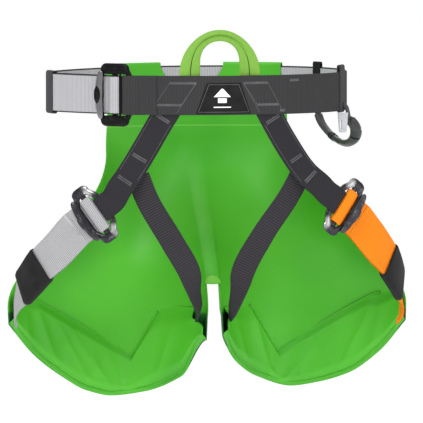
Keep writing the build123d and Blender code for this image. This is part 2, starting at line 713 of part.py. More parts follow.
for side in SIDES:
    pieces["seat_pocket_" + side] = seat_pocket(side)
    pieces["tunnel_strap_" + side] = tunnel_strap(side)
    pieces["riser_" + side] = riser(side)
    pieces["inner_leg_strap_" + side] = inner_leg_strap(side)
    pieces["leg_webbing_" + side] = leg_webbing(side)
    pieces["leg_tail_" + side] = leg_tail(side)
    pieces["leg_sleeve_" + side] = leg_sleeve(side)
    place = leg_buckle_plane(side).location
    pieces["leg_buckle_frame_" + side] = place * buckle_frame(LEG_WIDTH, LEG_FRAME)
    pieces["leg_buckle_lock_plate_" + side] = place * lock_plate(LEG_WIDTH, LEG_FRAME)

for node, shape in pieces.items():
    export_step(shape, "parts/" + node + ".step")
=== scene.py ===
import math

import bpy
import numpy as np
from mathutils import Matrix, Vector


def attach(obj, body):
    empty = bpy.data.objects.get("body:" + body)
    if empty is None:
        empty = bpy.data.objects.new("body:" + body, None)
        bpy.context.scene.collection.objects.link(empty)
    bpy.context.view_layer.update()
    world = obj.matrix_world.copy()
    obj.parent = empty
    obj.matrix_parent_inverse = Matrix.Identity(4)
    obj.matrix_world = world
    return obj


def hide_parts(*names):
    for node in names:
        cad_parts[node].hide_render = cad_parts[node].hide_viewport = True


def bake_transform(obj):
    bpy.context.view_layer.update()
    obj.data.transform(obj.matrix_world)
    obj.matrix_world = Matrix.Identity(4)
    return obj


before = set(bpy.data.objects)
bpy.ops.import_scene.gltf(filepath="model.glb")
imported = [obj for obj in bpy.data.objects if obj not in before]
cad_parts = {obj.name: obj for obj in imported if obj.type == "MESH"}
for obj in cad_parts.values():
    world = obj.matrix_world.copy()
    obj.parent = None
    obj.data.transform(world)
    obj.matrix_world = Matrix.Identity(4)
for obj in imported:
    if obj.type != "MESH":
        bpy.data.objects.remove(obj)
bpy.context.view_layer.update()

mm = 0.001
scene = bpy.context.scene

# ring of the waist belt: four tangent arcs, addressed by the way they face (degrees)
ring = {"flatRadius": 215.8 * mm, "halfDepth": 115 * mm, "rightReach": 158 * mm, "leftReach": 184 * mm,
        "beltHalf": 22.5 * mm, "web": 2.2 * mm}
flatShift = ring["flatRadius"] - ring["halfDepth"]


def endRadius(reach):  # radius of an end arc tangent to both flat arcs
    return (ring["flatRadius"] ** 2 - reach ** 2 - flatShift ** 2) / \
            (2 * (ring["flatRadius"] - reach))


rightRadius, leftRadius = endRadius(ring["rightReach"]), endRadius(ring["leftReach"])
rightCentre, leftCentre = ring["rightReach"] - rightRadius, leftRadius - ring["leftReach"]
rightTurn = math.degrees(math.atan2(flatShift, rightCentre))
leftTurn = 180 - math.degrees(math.atan2(flatShift, -leftCentre))


def ringPoint(angle, offset, z):
    # the arc that faces each angle gives a centre and radius; the offset is added to the radius
    angle, offset, z = np.broadcast_arrays(np.asarray(angle, float), offset, z)
    turned = (angle + rightTurn) % 360 - rightTurn
    inRight, inBack = turned <= rightTurn, (turned > rightTurn) & (turned <= leftTurn)
    inLeft = (turned > leftTurn) & (turned <= 360 - leftTurn)
    cx = np.where(inRight, rightCentre, np.where(inLeft, leftCentre, 0.0))
    cy = np.where(inRight | inLeft, 0.0, np.where(inBack, -flatShift, flatShift))
    radius = np.where(
    inRight,
    rightRadius,
    np.where(
        inLeft,
        leftRadius,
         ring["flatRadius"])) + offset
    a = np.radians(angle)
    return np.stack([cx + radius * np.cos(a), cy + radius * np.sin(a), z + 0 * a], axis=-1)


def ringNormal(angle):
    a = np.radians(angle)
    return np.stack([np.cos(a), np.sin(a), 0 * a], axis=-1)


def frontAngle(x):
    return 360 - math.degrees(math.acos(x * mm / ring["flatRadius"]))


def backAngle(x):
    return math.degrees(math.acos(x * mm / ring["flatRadius"]))


# ---- mesh helpers ----
def smooth(t):
    t = np.clip(t, 0, 1)
    return t * t * (3 - 2 * t)


def unit(v):
    return v / np.maximum(np.linalg.norm(v, axis=-1, keepdims=True), 1e-12)


def makeObject(name, points, faces, uv=None):
    mesh = bpy.data.meshes.new(name)
    points = np.asarray(points, np.float32).reshape(-1, 3)
    faces = np.asarray(faces, np.int32).reshape(-1, 4)
    mesh.vertices.add(len(points))
    mesh.vertices.foreach_set("co", points.ravel())
    mesh.loops.add(faces.size)
    mesh.loops.foreach_set("vertex_index", faces.ravel())
    mesh.polygons.add(len(faces))
    mesh.polygons.foreach_set("loop_start", np.arange(0, faces.size, 4, dtype=np.int32))
    mesh.update(calc_edges=True)
    mesh.polygons.foreach_set("use_smooth", np.ones(len(faces), bool))
    if uv is not None:
        layer = mesh.uv_layers.new(name="UVMap")
        layer.data.foreach_set("uv", np.asarray(
            uv, np.float32).reshape(-1, 2)[faces.ravel()].ravel())
    mesh.validate()
    obj = bpy.data.objects.new(name, mesh)
    scene.collection.objects.link(obj)
    return obj


def gridFaces(rows, columns, closeRows=False, closeColumns=False, start=0):
    r = np.arange(rows if closeRows else rows - 1)
    c = np.arange(columns if closeColumns else columns - 1)
    r, c = np.meshgrid(r, c, indexing="ij")
    r2, c2 = (r + 1) % rows, (c + 1) % columns
    quads = np.stack([r * columns + c, r2 * columns + c, r2 * \
                     columns + c2, r * columns + c2], axis=-1)
    return quads.reshape(-1, 4) + start


def through(stations, knots, at):  # smooth cubic through uneven stations
    stations = np.asarray(stations, float)
    slope = np.gradient(stations, knots, axis=0)
    i = np.clip(np.searchsorted(knots, at, "right") - 1, 0, len(knots) - 2)
    h = (knots[i + 1] - knots[i])[:, None]
    u = ((at - knots[i]) / (knots[i + 1] - knots[i]))[:, None]
    return ((2 * u ** 3 - 3 * u ** 2 + 1) * stations[i] + (u ** 3 - 2 * u ** 2 + u) * h * slope[i]
            + (3 * u ** 2 - 2 * u ** 3) * stations[i + 1] + (u ** 3 - u ** 2) * h * slope[i + 1])


def lengths(points):
    return np.concatenate([[0], np.cumsum(np.linalg.norm(np.diff(points, axis=0), axis=1))])


def evenly(points, facings, step):  # the same route with points a set step apart
    s = lengths(points)
    at = np.linspace(0, s[-1], max(3, int(round(s[-1] / step)) + 1))
    return (np.stack([np.interp(at, s, points[:, k]) for k in range(3)], axis=1),
            np.stack([np.interp(at, s, facings[:, k]) for k in range(3)], axis=1), at)


def route(stations, facings, step):
    stations = np.asarray(stations, float) * mm
    knots = lengths(stations)
    at = np.linspace(0, knots[-1], 40 * len(stations))
    return evenly(through(stations, knots, at), through(facings, knots, at), step)


def ringRoute(start, end, offset, step, z=0.0):
    angle = np.linspace(start, end, int(abs(end - start) * 4) + 3)
    return evenly(ringPoint(angle, offset, z), ringNormal(angle), step)


def frames(points, facings):
    along = unit(np.gradient(points, axis=0))
    across = unit(np.cross(along, facings))
    return along, across, unit(np.cross(across, along))


# ---- webbing: a flat rounded profile carried along a route, with raised ribs ----
def webbing(name, path, width, thick, pitch=2.0 * mm, depth=0.16 * mm, selvedge=2.2 * mm, columns=16,
            lift=0.0, widths=None):
    points, facings, s = path
    across, out = frames(points, facings)[1:]
    share = np.linspace(-1, 1, columns)
    share = np.sign(share) * (1 - (1 - np.abs(share)) ** 1.35)  # closer together towards the edges
    half = (width / 2 if widths is None else np.interp(s, *widths) / 2) * np.ones(len(s))
    side = share[None, :] * half[:, None]
    inset = half[:, None] - np.abs(side)
    edge = np.sqrt(np.clip(1 - (1 - np.clip(inset / (thick * 0.5), 0, 1)) ** 2, 0, 1))
    rib = depth * np.abs(np.cos(math.pi * s / pitch))[:, None] * smooth(inset / selvedge)
    piping = 0.18 * mm * np.exp(-((inset - selvedge * 0.5) / (selvedge * 0.35)) ** 2)
    top = lift + (thick / 2) * edge + rib + piping * edge
    low = lift - (thick / 2) * edge - rib - piping * edge
    base = points[:, None, :] + across[:, None, :] * side[..., None]
    front = base + out[:, None, :] * top[..., None]
    back = base + out[:, None, :] * low[..., None]
    loop = np.concatenate([front, back[:, ::-1]], axis=1)
    uv = np.stack(np.broadcast_arrays(s[:, None], side), axis=-1)
    uv = np.concatenate([uv, uv[:, ::-1]], axis=1)
    faces = gridFaces(len(s), 2 * columns, closeColumns=True)
    j = np.arange(columns - 1)
    cap = np.stack([j, j + 1, 2 * columns - 2 - j, 2 * columns - 1 - j], axis=-1)
    faces = np.concatenate([faces, cap, cap[:, ::-1] + (len(s) - 1) * 2 * columns])
    obj = makeObject(name, loop, faces[:, ::-1], uv)
    obj["flatLength"], obj["flatWidth"] = float(s[-1]), float(width)
    return obj


def shell(name, outer, inner, uv=None):
    # a closed wall: an outer and an inner surface, each a band closed round its columns, joined at
    # both ends
    rows, columns = outer.shape[:2]
    count = rows * columns
    faces = [gridFaces(rows, columns, closeColumns=True),
             gridFaces(rows, columns, closeColumns=True, start=count)[:, ::-1]]
    c = np.arange(columns)
    d = (c + 1) % columns
    faces.append(np.stack([c, d, d + count, c + count], axis=-1))
    last = (rows - 1) * columns
    faces.append(np.stack([last + d, last + c, last + c + count, last + d + count], axis=-1))
    if uv is None:
        a, b = np.meshgrid(np.arange(rows) * mm, np.arange(columns) * mm, indexing="ij")
        uv = np.stack([a, b], axis=-1)
    return makeObject(name, np.concatenate([outer.reshape(-1, 3), inner.reshape(-1, 3)]),
                      np.concatenate(faces), np.concatenate([uv.reshape(-1, 2)] * 2))


def roundedLoop(halfWide, halfHigh, radius, count):
    # a rounded rectangle walked at even steps, from the middle of its right side
    turn = np.linspace(0, 2 * math.pi, 720, endpoint=False)
    x, y = np.cos(turn), np.sin(turn)
    x, y = np.sign(x) * np.abs(x) ** 0.02, np.sign(y) * np.abs(y) ** 0.02
    corner = np.stack([x * (halfWide - radius), y * (halfHigh - radius)], axis=-1)
    loop = corner + radius * np.stack([np.cos(turn), np.sin(turn)], axis=-1)
    closed = np.concatenate([loop, loop[:1]])
    s = np.concatenate([[0], np.cumsum(np.linalg.norm(np.diff(closed, axis=0), axis=1))])
    at = np.linspace(0, s[-1], count, endpoint=False)
    return np.stack([np.interp(at, s, closed[:, k]) for k in range(2)], axis=1), s[-1]


# ---- materials ----
def startMaterial(name, colour, rough, metal=0.0):
    material = bpy.data.materials.new(name)
    material.use_nodes = True
    material.diffuse_color = (*colour, 1)
    tree = material.node_tree
    surface = tree.nodes["Principled BSDF"]
    surface.inputs["Base Color"].default_value = (*colour, 1)
    surface.inputs["Roughness"].default_value = rough
    surface.inputs["Metallic"].default_value = metal
    return material, tree, surface


def put(tree, kind, **values):
    node = tree.nodes.new(kind)
    for key, value in values.items():
        setattr(node, key, value)
    return node


def calc(tree, operation, a, b=None):
    node = put(tree, "ShaderNodeMath", operation=operation)
    for i, value in enumerate((a, b)):
        if value is None:
            continue
        if isinstance(value, (int, float)):
            node.inputs[i].default_value = value
        else:
            tree.links.new(value, node.inputs[i])
    return node.outputs[0]


def noise(tree, scale, detail=4.0, rough=0.55, vector=None):
    node = put(tree, "ShaderNodeTexNoise")
    node.inputs["Scale"].default_value = scale
    node.inputs["Detail"].default_value = detail
    node.inputs["Roughness"].default_value = rough
    if vector is None:
        vector = put(tree, "ShaderNodeTexCoord").outputs["Object"]
    tree.links.new(vector, node.inputs["Vector"])
    return node.outputs["Fac"]


def mixColour(tree, factor, first, second):
    node = put(tree, "ShaderNodeMix", data_type="RGBA")
    tree.links.new(factor, node.inputs["Factor"])
    for socket, value in ((node.inputs["A"], first), (node.inputs["B"], second)):
        if isinstance(value, tuple):
            socket.default_value = (*value, 1)
        else:
            tree.links.new(value, socket)
    return node.outputs["Result"]


def spread(tree, value, low, high):
    node = put(tree, "ShaderNodeMapRange")
    node.inputs["From Min"].default_value, node.inputs["From Max"].default_value = low, high
    tree.links.new(value, node.inputs["Value"])
    return node.outputs["Result"]


def bump(tree, surface, height, distance, strength=1.0):
    node = put(tree, "ShaderNodeBump")
    node.inputs["Distance"].default_value = distance
    node.inputs["Strength"].default_value = strength
    tree.links.new(height, node.inputs["Height"])
    tree.links.new(node.outputs["Normal"], surface.inputs["Normal"])


def webMaterial(name, light, dark, pitch, rough=0.72, yarn=0.9 * \
                mm, edge=None, halfWidth=None, slant=0.0):
    # ribs across the strap from the first UV value, yarns along it from the second
    material, tree, surface = startMaterial(name, light, rough)
    split = put(tree, "ShaderNodeSeparateXYZ")
    tree.links.new(put(tree, "ShaderNodeUVMap", uv_map="UVMap").outputs["UV"], split.inputs[0])
    u, v = split.outputs["X"], split.outputs["Y"]
    if slant:
        u = calc(tree, "ADD", u, calc(tree, "MULTIPLY", v, slant))
    ribs = calc(tree, "ABSOLUTE", calc(tree, "COSINE", calc(tree, "MULTIPLY", u, math.pi / pitch)))
    yarns = calc(tree, "SINE", calc(tree, "ADD", calc(tree, "MULTIPLY", v, 2 * math.pi / yarn),
                                    calc(tree, "MULTIPLY", u, math.pi / pitch)))
    height = calc(
    tree, "ADD", calc(
        tree, "MULTIPLY", ribs, 0.7), calc(
            tree, "MULTIPLY", yarns, 0.16))
    fuzz = noise(tree, 900.0, 3.0)
    height = calc(tree, "ADD", height, calc(tree, "MULTIPLY", fuzz, 0.25))
    shade = spread(tree, height, 0.05, 0.75)
    colour = mixColour(tree, shade, dark, light)
    patches = spread(tree, noise(tree, 28.0, 3.0), 0.3, 0.7)
    deeper = tuple(0.5 * (a + b) for a, b in zip(light, dark))
    colour = mixColour(tree, calc(tree, "MULTIPLY", patches, 0.28), colour, deeper)
    if edge is not None:
        rim = spread(tree, calc(tree, "ABSOLUTE", v), halfWidth - 2.0 * mm, halfWidth - 1.4 * mm)
        colour = mixColour(tree, rim, colour, edge)
    tree.links.new(colour, surface.inputs["Base Color"])
    surface.inputs["Sheen Weight"].default_value = 0.01
    surface.inputs["Specular IOR Level"].default_value = 0.16
    bump(tree, surface, height, 0.25 * mm, 0.8)
    return material


seatWeld = 47.0 * mm  # depth below the origin of the weld line across the seat


def sheetMaterial(name, colour, deep, bright):  # coated sheet: satin, faint grain, cloudy tone, a lighter weld line and painted shade in the pocket mouths
    material, tree, surface = startMaterial(name, colour, 0.4)
    cloud = spread(tree, noise(tree, 7.0, 2.0), 0.32, 0.68)
    grain = noise(tree, 2600.0, 2.0)
    tone = mixColour(tree, cloud, deep, bright)
    split = put(tree, "ShaderNodeSeparateXYZ")
    tree.links.new(put(tree, "ShaderNodeTexCoord").outputs["Object"], split.inputs[0])
    away = calc(tree, "ABSOLUTE", calc(tree, "ADD", split.outputs["Z"], seatWeld))
    line = calc(tree, "SUBTRACT", 1.0, spread(tree, away, 0.5 * mm, 1.1 * mm))
    # painted shade: a point attribute darkens the sheet to deep green inside the pocket mouths
    mouthShade = put(tree, "ShaderNodeAttribute", attribute_name="mouthShade").outputs["Fac"]
    tone = mixColour(tree, calc(tree, "MULTIPLY", line, 0.4), tone, (0.19, 0.56, 0.08))
    tone = mixColour(tree, mouthShade, tone, (0.012, 0.105, 0.022))
    tree.links.new(tone, surface.inputs["Base Color"])
    gloss = calc(tree, "ADD", calc(tree, "MULTIPLY", noise(tree, 45.0, 3.0), 0.16), 0.36)
    tree.links.new(gloss, surface.inputs["Roughness"])
    surface.inputs["Specular IOR Level"].default_value = 0.26
    surface.inputs["Coat Weight"].default_value = 0.02
    surface.inputs["Coat Roughness"].default_value = 0.28
    height = calc(tree, "ADD", calc(tree, "MULTIPLY", grain, 0.2), noise(tree, 120.0, 3.0))
    bump(tree, surface, height, 0.12 * mm, 0.35)
    return material


def metalMaterial(name, colour, bright, rough):  # coated metal that is worn bright here and there, plus painted highlights from a point attribute
    material, tree, surface = startMaterial(name, colour, rough, 0.85)
    wearAndHighlight = spread(tree, noise(tree, 160.0, 6.0, 0.7), 0.55, 0.72)
    # painted highlight: a point attribute set by the buckle builder is added to the random wear mask
    paintedHighlight = put(tree, "ShaderNodeAttribute", attribute_name="paintedHighlight").outputs["Fac"]
    wearAndHighlight = calc(tree, "ADD", calc(tree, "MULTIPLY", wearAndHighlight, 0.3), paintedHighlight)
    tone = mixColour(tree, calc(tree, "MINIMUM", wearAndHighlight, 1.0), colour, bright)
    tree.links.new(tone, surface.inputs["Base Color"])
    gloss = calc(tree, "ADD", calc(tree, "MULTIPLY", noise(tree, 240.0, 5.0), 0.25), rough - 0.1)
    tree.links.new(gloss, surface.inputs["Roughness"])
    bump(tree, surface, noise(tree, 700.0, 3.0), 0.05 * mm, 0.5)
    return material


def plainMaterial(name, colour, rough, scale=400.0, distance=0.08 * mm):
    material, tree, surface = startMaterial(name, colour, rough)
    tint = spread(tree, noise(tree, 60.0, 4.0), 0.35, 0.65)
    lift = tuple(min(1.0, c * 1.35 + 0.004) for c in colour)
    tree.links.new(mixColour(tree, tint, colour, lift), surface.inputs["Base Color"])
    surface.inputs["Specular IOR Level"].default_value = 0.2
    bump(tree, surface, noise(tree, scale, 4.0), distance, 0.7)
    return material


darkWeb = webMaterial("darkWeb", (0.046, 0.046, 0.048), (0.011, 0.011, 0.012), 1.7 * mm)
keeperTape = webMaterial("keeperTape", (0.060, 0.060, 0.064), (0.022, 0.022, 0.024), 1.4 * mm)
riserWeb = webMaterial("riserWeb", (0.028, 0.026, 0.031),
                       (0.010, 0.0095, 0.011), 1.5 * mm, slant=0.45)
strapWeb = webMaterial("strapWeb", (0.042, 0.039, 0.045), (0.005, 0.0048, 0.006), 2.9 * mm)
lightWeb = webMaterial("lightWeb", (0.50, 0.50, 0.52), (0.17, 0.17, 0.18), 1.9 * mm,
                       edge=(0.020, 0.020, 0.022), halfWidth=22.5 * mm)
legLight = webMaterial("legLight", (0.46, 0.46, 0.475), (0.14, 0.14, 0.15), 1.9 * mm)
legOrange = webMaterial("legOrange", (0.98, 0.27, 0.008), (0.62, 0.12, 0.003), 1.9 * mm)
blackTape = webMaterial("blackTape", (0.010, 0.010, 0.011), (0.003, 0.003, 0.0035), 1.4 * mm)
limeWeb = webMaterial("limeWeb", (0.235, 0.47, 0.070), (0.085, 0.25, 0.022), 1.2 * mm, rough=0.45)
greenSheet = sheetMaterial("greenSheet", (0.062, 0.40, 0.018),
                           (0.045, 0.33, 0.014), (0.075, 0.43, 0.022))
tabSheet = sheetMaterial("tabSheet", (0.13, 0.47, 0.04), (0.11, 0.43, 0.035), (0.15, 0.50, 0.045))
buckleMetal = metalMaterial("buckleMetal", (0.035, 0.035, 0.040), (0.50, 0.50, 0.51), 0.30)
blackMetal = metalMaterial("blackMetal", (0.008, 0.008, 0.009), (0.10, 0.10, 0.10), 0.38)
greyMetal = metalMaterial("greyMetal", (0.17, 0.17, 0.18), (0.50, 0.50, 0.51), 0.26)
labelCloth = plainMaterial("labelCloth", (0.004, 0.004, 0.0045), 0.6, 1200.0)
whitePrint = plainMaterial("whitePrint", (0.85, 0.85, 0.85), 0.5, 1200.0, 0.03 * mm)
sleeveCloth = plainMaterial("sleeveCloth", (0.004, 0.004, 0.0042), 0.62, 1500.0, 0.1 * mm)
mouldedGrey = plainMaterial("mouldedGrey", (0.040, 0.040, 0.043), 0.34, 500.0, 0.05 * mm)
lightTongue = plainMaterial("lightTongue", (0.40, 0.41, 0.43), 0.42, 600.0, 0.05 * mm)
greyThread = plainMaterial("greyThread", (0.13, 0.13, 0.135), 0.6, 2000.0, 0.02 * mm)
darkThread = plainMaterial("darkThread", (0.010, 0.014, 0.006), 0.6, 2000.0, 0.02 * mm)


def finish(obj, material, body="root", nodes=()):
    obj.data.materials.append(material)
    if body:
        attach(obj, body)
    if nodes:
        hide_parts(*nodes)
    return obj


# ---- camera, light and floor ----
view = {"azimuth": -8.4, "elevation": 3.6, "distance": 16.0, "frameWidth": 486.5 * mm,
        "centre": (2.9 * mm, 0.0, -139.9 * mm)}


def makeCamera():
    a, e = math.radians(view["azimuth"]), math.radians(view["elevation"])
    back = (math.sin(a) * math.cos(e), -math.cos(a) * math.cos(e), math.sin(e))
    camera = bpy.data.cameras.new("camera")
    camera.sensor_width = 36
    camera.lens = 36 * view["distance"] / view["frameWidth"]
    camera.clip_end = 100
    obj = bpy.data.objects.new("camera", camera)
    scene.collection.objects.link(obj)
    obj.location = [c + b * view["distance"] for c, b in zip(view["centre"], back)]
    obj.rotation_mode = "QUATERNION"
    obj.rotation_quaternion = (-Vector(back)).to_track_quat("-Z", "Y")
    scene.camera = obj


def areaLight(name, place, size, power, target=(0, 0, -0.15)):
    light = bpy.data.lights.new(name, "AREA")
    light.shape, light.size, light.size_y, light.energy = "RECTANGLE", size, size, power
    obj = bpy.data.objects.new(name, light)
    scene.collection.objects.link(obj)
    obj.location = place
    obj.rotation_mode = "QUATERNION"
    obj.rotation_quaternion = (Vector(target) - Vector(place)).to_track_quat("-Z", "Y")


def makeStudio():
    world = bpy.data.worlds.new("studio")
    scene.world = world
    world.use_nodes = True
    world.node_tree.nodes["Background"].inputs["Color"].default_value = (1, 1, 1, 1)
    world.node_tree.nodes["Background"].inputs["Strength"].default_value = 0.62
    areaLight("keyLight", (-1.2, -1.9, 1.7), 1.1, 42)
    areaLight("fillLight", (1.8, -1.6, 0.1), 1.6, 12)
    areaLight("backLight", (0.4, 2.0, 1.6), 1.6, 16)
    areaLight("topLight", (0.0, -0.3, 2.2), 1.2, 10)
    # the floor is a wide disc, level all over: rings of growing radius
    radius = np.linspace(0, 1, 40)[:, None] ** 2 * 34
    turn = np.linspace(0, 2 * math.pi, 72, endpoint=False)[None, :]
    points = np.stack(np.broadcast_arrays(radius * np.cos(turn),
                      radius * np.sin(turn), -0.62), axis=-1)
    floor = makeObject("floor", points[1:], gridFaces(39, 72, closeColumns=True))
    hub = makeObject("floorHub", points[1][::6], [[0, k, k + 1, k + 2] for k in range(1, 10, 2)])
    material, _, surface = startMaterial("paleFloor", (0.97, 0.97, 0.97), 0.85)
    surface.inputs["Specular IOR Level"].default_value = 0.1
    surface.inputs["Emission Color"].default_value = (1, 1, 1, 1)
    surface.inputs["Emission Strength"].default_value = 0.4
    floor.data.materials.append(material)
    hub.data.materials.append(material)


scene.view_settings.view_transform = "Standard"
makeCamera()
makeStudio()
print("studio made")

# ---- waist belt ----
belt = {"half": ring["beltHalf"], "web": ring["web"], "frontEnd": 350.0, "buckleX": -118.0, "buckleLift": 5.2 * mm,
        "buckleLength": 44 * mm, "frameThick": 3 * mm, "barHalf": 4 * mm, "farBar": 7 * mm, "pitch": 1.7 * mm}


def pastBuckle(distance):  # ring angle this far along the belt from the waist buckle's centre
    return frontAngle(belt["buckleX"]) + math.degrees(distance / ring["flatRadius"])


def planeOf(origin, along, facing):  # a buckle's own axes: along the strap, across it and out
    facing = unit(np.array(facing, float))
    along = np.array(along, float)
    along = unit(along - facing * (along @ facing))
    return np.array(origin, float), along, np.cross(facing, along), facing


def placeIn(plane, x, y, z):
    origin, along, across, out = plane
    x, y, z = np.broadcast_arrays(x, y, z)
    return origin + x[..., None] * along + y[..., None] * across + z[..., None] * out


waistAngle = frontAngle(belt["buckleX"])
waistPlane = planeOf(ringPoint(waistAngle, belt["buckleLift"], 0.0),
                     (-math.sin(math.radians(waistAngle)), math.cos(math.radians(waistAngle)), 0),
                     ringNormal(waistAngle))


def localRoute(plane, outline, step):  # a route drawn in a buckle's own x and z
    outline = np.array(outline) * mm
    points = placeIn(plane, outline[:, 0], 0.0, outline[:, 1])
    knots = lengths(points)
    at = np.linspace(0, knots[-1], 30 * len(points))
    fine = through(points, knots, at)
    tangent = unit(np.gradient(fine, axis=0))
    return evenly(fine, np.cross(tangent, plane[2]), step)


def joinRoutes(*parts, step):
    points = np.concatenate([p[0] for p in parts])
    facings = np.concatenate([p[1] for p in parts])
    keep = np.concatenate([[True], np.linalg.norm(np.diff(points, axis=0), axis=1) > 1e-6])
    return evenly(points[keep], facings[keep], step)


def makeWaistBelt():
    step = 0.42 * mm
    half = belt["buckleLength"] / 2 / mm
    folded = localRoute(waistPlane, [(half + 26, -8.6), (half + 17, -6.9), (half + 8, -2.4), (half + 2.5, 2.3),
                                     (half - 2, 3.1), (half - 9.6, 2.8), (half - \
                                      12.4, 0.0), (half - 9.6, -2.8),
                                     (half + 1, -3.4), (half + 9, -5.6)], step)
    front = ringRoute(pastBuckle(38 * mm), belt["frontEnd"], 0.0, step)
    path = joinRoutes(folded, front, step=step)
    obj = webbing("waistBeltFront", path, 2 * belt["half"], belt["web"], belt["pitch"])
    finish(obj, darkWeb, nodes=["waist_belt_front"])
    rear = ringRoute(belt["frontEnd"], 360 + pastBuckle(-14 * mm), 0.0, step)
    into = localRoute(waistPlane, [(-12.5, -5.4), (-8, -5.2), (-2, -4.6), (3.6, -3.4), (5.6, -0.6), (5.0, 2.4),
                                   (2.0, 3.9), (-2.0, 3.9), (-5.0, 2.4), (-5.8, -0.2), (-8.5, -2.4),
                                   (-14, -2.8)], step)
    tail = ringRoute(pastBuckle(-16 * mm), 172.0, 2.5 * mm, step)
    obj = webbing(
    "waistBeltRear",
    joinRoutes(
        rear,
        step=step),
        2 * belt["half"],
        belt["web"],
         1.9 * mm)
    finish(obj, lightWeb, nodes=["waist_belt_back"])
    obj = webbing("waistBeltTail", joinRoutes(into, tail, step=step), 2 * belt["half"] - 0.8 * mm, belt["web"],
                  1.9 * mm)
    finish(obj, lightWeb, nodes=["waist_belt_tail"])


def wrapBand(name, angle, halfTurn, inner, outer, high, wall,
             material, body, nodes, rise=0.0):
    # a tape loop round the belt: a rounded loop in offset and height, carried along the ring; its
    # upper
    # half is stretched by the rise
    loop, size = roundedLoop((outer - inner) / 2 + wall, high + wall, wall * 1.2 + 0.6 * mm, 120)
    core = roundedLoop((outer - inner) / 2, high, wall * 0.4 + 0.4 * mm, 120)[0]
    share = np.linspace(-1, 1, 25)
    turn = (angle + halfTurn * share)[:, None]
    grow = 1 - 0.16 * np.abs(share)[:, None] ** 8
    middle = (inner + outer) / 2
    upper = smooth((loop[None, :, 1] / high + 1) / 2)
    a = ringPoint(turn, middle + loop[None, :, 0] * grow, loop[None, :, 1] + rise * upper)
    b = ringPoint(turn, middle + core[None, :, 0] + 0 * turn,
                  core[None, :, 1] + rise * upper + 0 * turn)
    u = np.linspace(0, size, 120)
    uv = np.stack(np.broadcast_arrays(u[None, :], share[:, None] * 6 * mm), axis=-1)
    return finish(shell(name, a, b, uv), material, body, nodes)


def makeBeltBands():
    web = belt["web"]
    wrapBand("beltKeeper", 192.0, 13.0, -web / 2 - 0.5 * mm, 1.5 * web + 0.7 * mm, belt["half"] + 0.5 * mm,
             1.6 * mm, keeperTape, "belt_keeper", ["belt_keeper"])
    wrapBand("gearStrapRear", 39.0, 3.2, -web / 2 - 0.1 * mm, web / 2 + 0.1 * mm, belt["half"] + 0.1 * mm,
             1.6 * mm, blackTape, "root", ["gear_loop_strap_rear"], 4.5 * mm)
    wrapBand("gearStrapFront", -28.5, 4.2, -web / 2 - 0.1 * mm, web / 2 + 0.1 * mm, belt["half"] + 0.1 * mm,
             1.6 * mm, keeperTape, "root", ["gear_loop_strap_front"], 6.5 * mm)


makeWaistBelt()
makeBeltBands()
print("waist belt made")

# ---- sewing ----
def alongCorners(corners, step):  # points at even steps along straight runs
    s = lengths(corners)
    at = np.linspace(0, s[-1], int(s[-1] / step) + 2)
    return np.stack([np.interp(at, s, corners[:, k]) for k in range(corners.shape[1])], axis=1)


# a running stitch rises over the webbing and sinks into it, six steps to a stitch
def dashes(count):
    return 0.12 * mm + 0.30 * mm * np.sin(np.arange(count) * math.pi / 3)


def zigzag(start, end, height, pitch):  # corners of a bartack between two places
    start, end = np.array(start) * mm, np.array(end) * mm
    run = end - start
    count = int(np.linalg.norm(run) / (pitch * mm)) * 2 + 1
    t = np.linspace(0, 1, count)[:, None]
    side = np.array([-run[1], run[0]]) / np.linalg.norm(run) * height * mm / 2
    return start + run * t + side * np.where(np.arange(count) % 2, 1, -1)[:, None]


def threads(name, lines, material, radius=0.3 * mm, body="root"):
    # a five-sided thread carried along each line
    a = np.linspace(0, 2 * math.pi, 5, endpoint=False)
    points, faces, count = [], [], 0
    for line in lines:
        along = unit(np.gradient(line, axis=0))
        side = unit(np.cross(along, [0.13, 0.31, 0.94]))
        other = np.cross(side, along)
        points.append((line[:, None, :] + radius * (np.cos(a)[None, :, None] * side[:, None, :]
                                                    + np.sin(a)[None, :, None] * other[:, None, :])).reshape(-1, 3))
        faces.append(gridFaces(len(line), 5, closeColumns=True, start=count))
        count += len(line) * 5
    obj = makeObject(name, np.concatenate(points), np.concatenate(faces))
    return finish(obj, material, body)


# ---- label with a plain arrow ----
label = {
    "low": -21.4 * mm,
    "high": 14.8 * mm,
    "halfLow": 32 * mm,
    "halfHigh": 19.7 * mm,
     "lift": 0.9 * mm}


def onBelt(x, z, lift):  # a point of the belt's front face
    angle = 360 - np.degrees(np.arccos(x / ring["flatRadius"]))
    return ringPoint(angle, belt["web"] / 2 + lift, z)


def patch(name, halfAt, low, high, lift, material,
          rows=24, columns=60, pillow=0.35 * mm, side=0.0):
    # a patch on the belt: its half width depends on height, its face is a low pillow with a rim to
    # the belt
    v = np.linspace(0, 1, rows)
    u = np.linspace(-1, 1, columns)
    z = low + (high - low) * v
    x = side + u[None, :] * halfAt(v)[:, None]
    rim = np.minimum(smooth((1 - np.abs(u[None, :])) * 12),
                     smooth(np.minimum(v, 1 - v)[:, None] * 12))
    face = onBelt(x, z[:, None], (lift - pillow) * smooth(rim * 3) + pillow * rim)
    uv = np.stack(np.broadcast_arrays(x, z[:, None]), axis=-1)
    return finish(makeObject(name, face, gridFaces(rows, columns), uv), material)


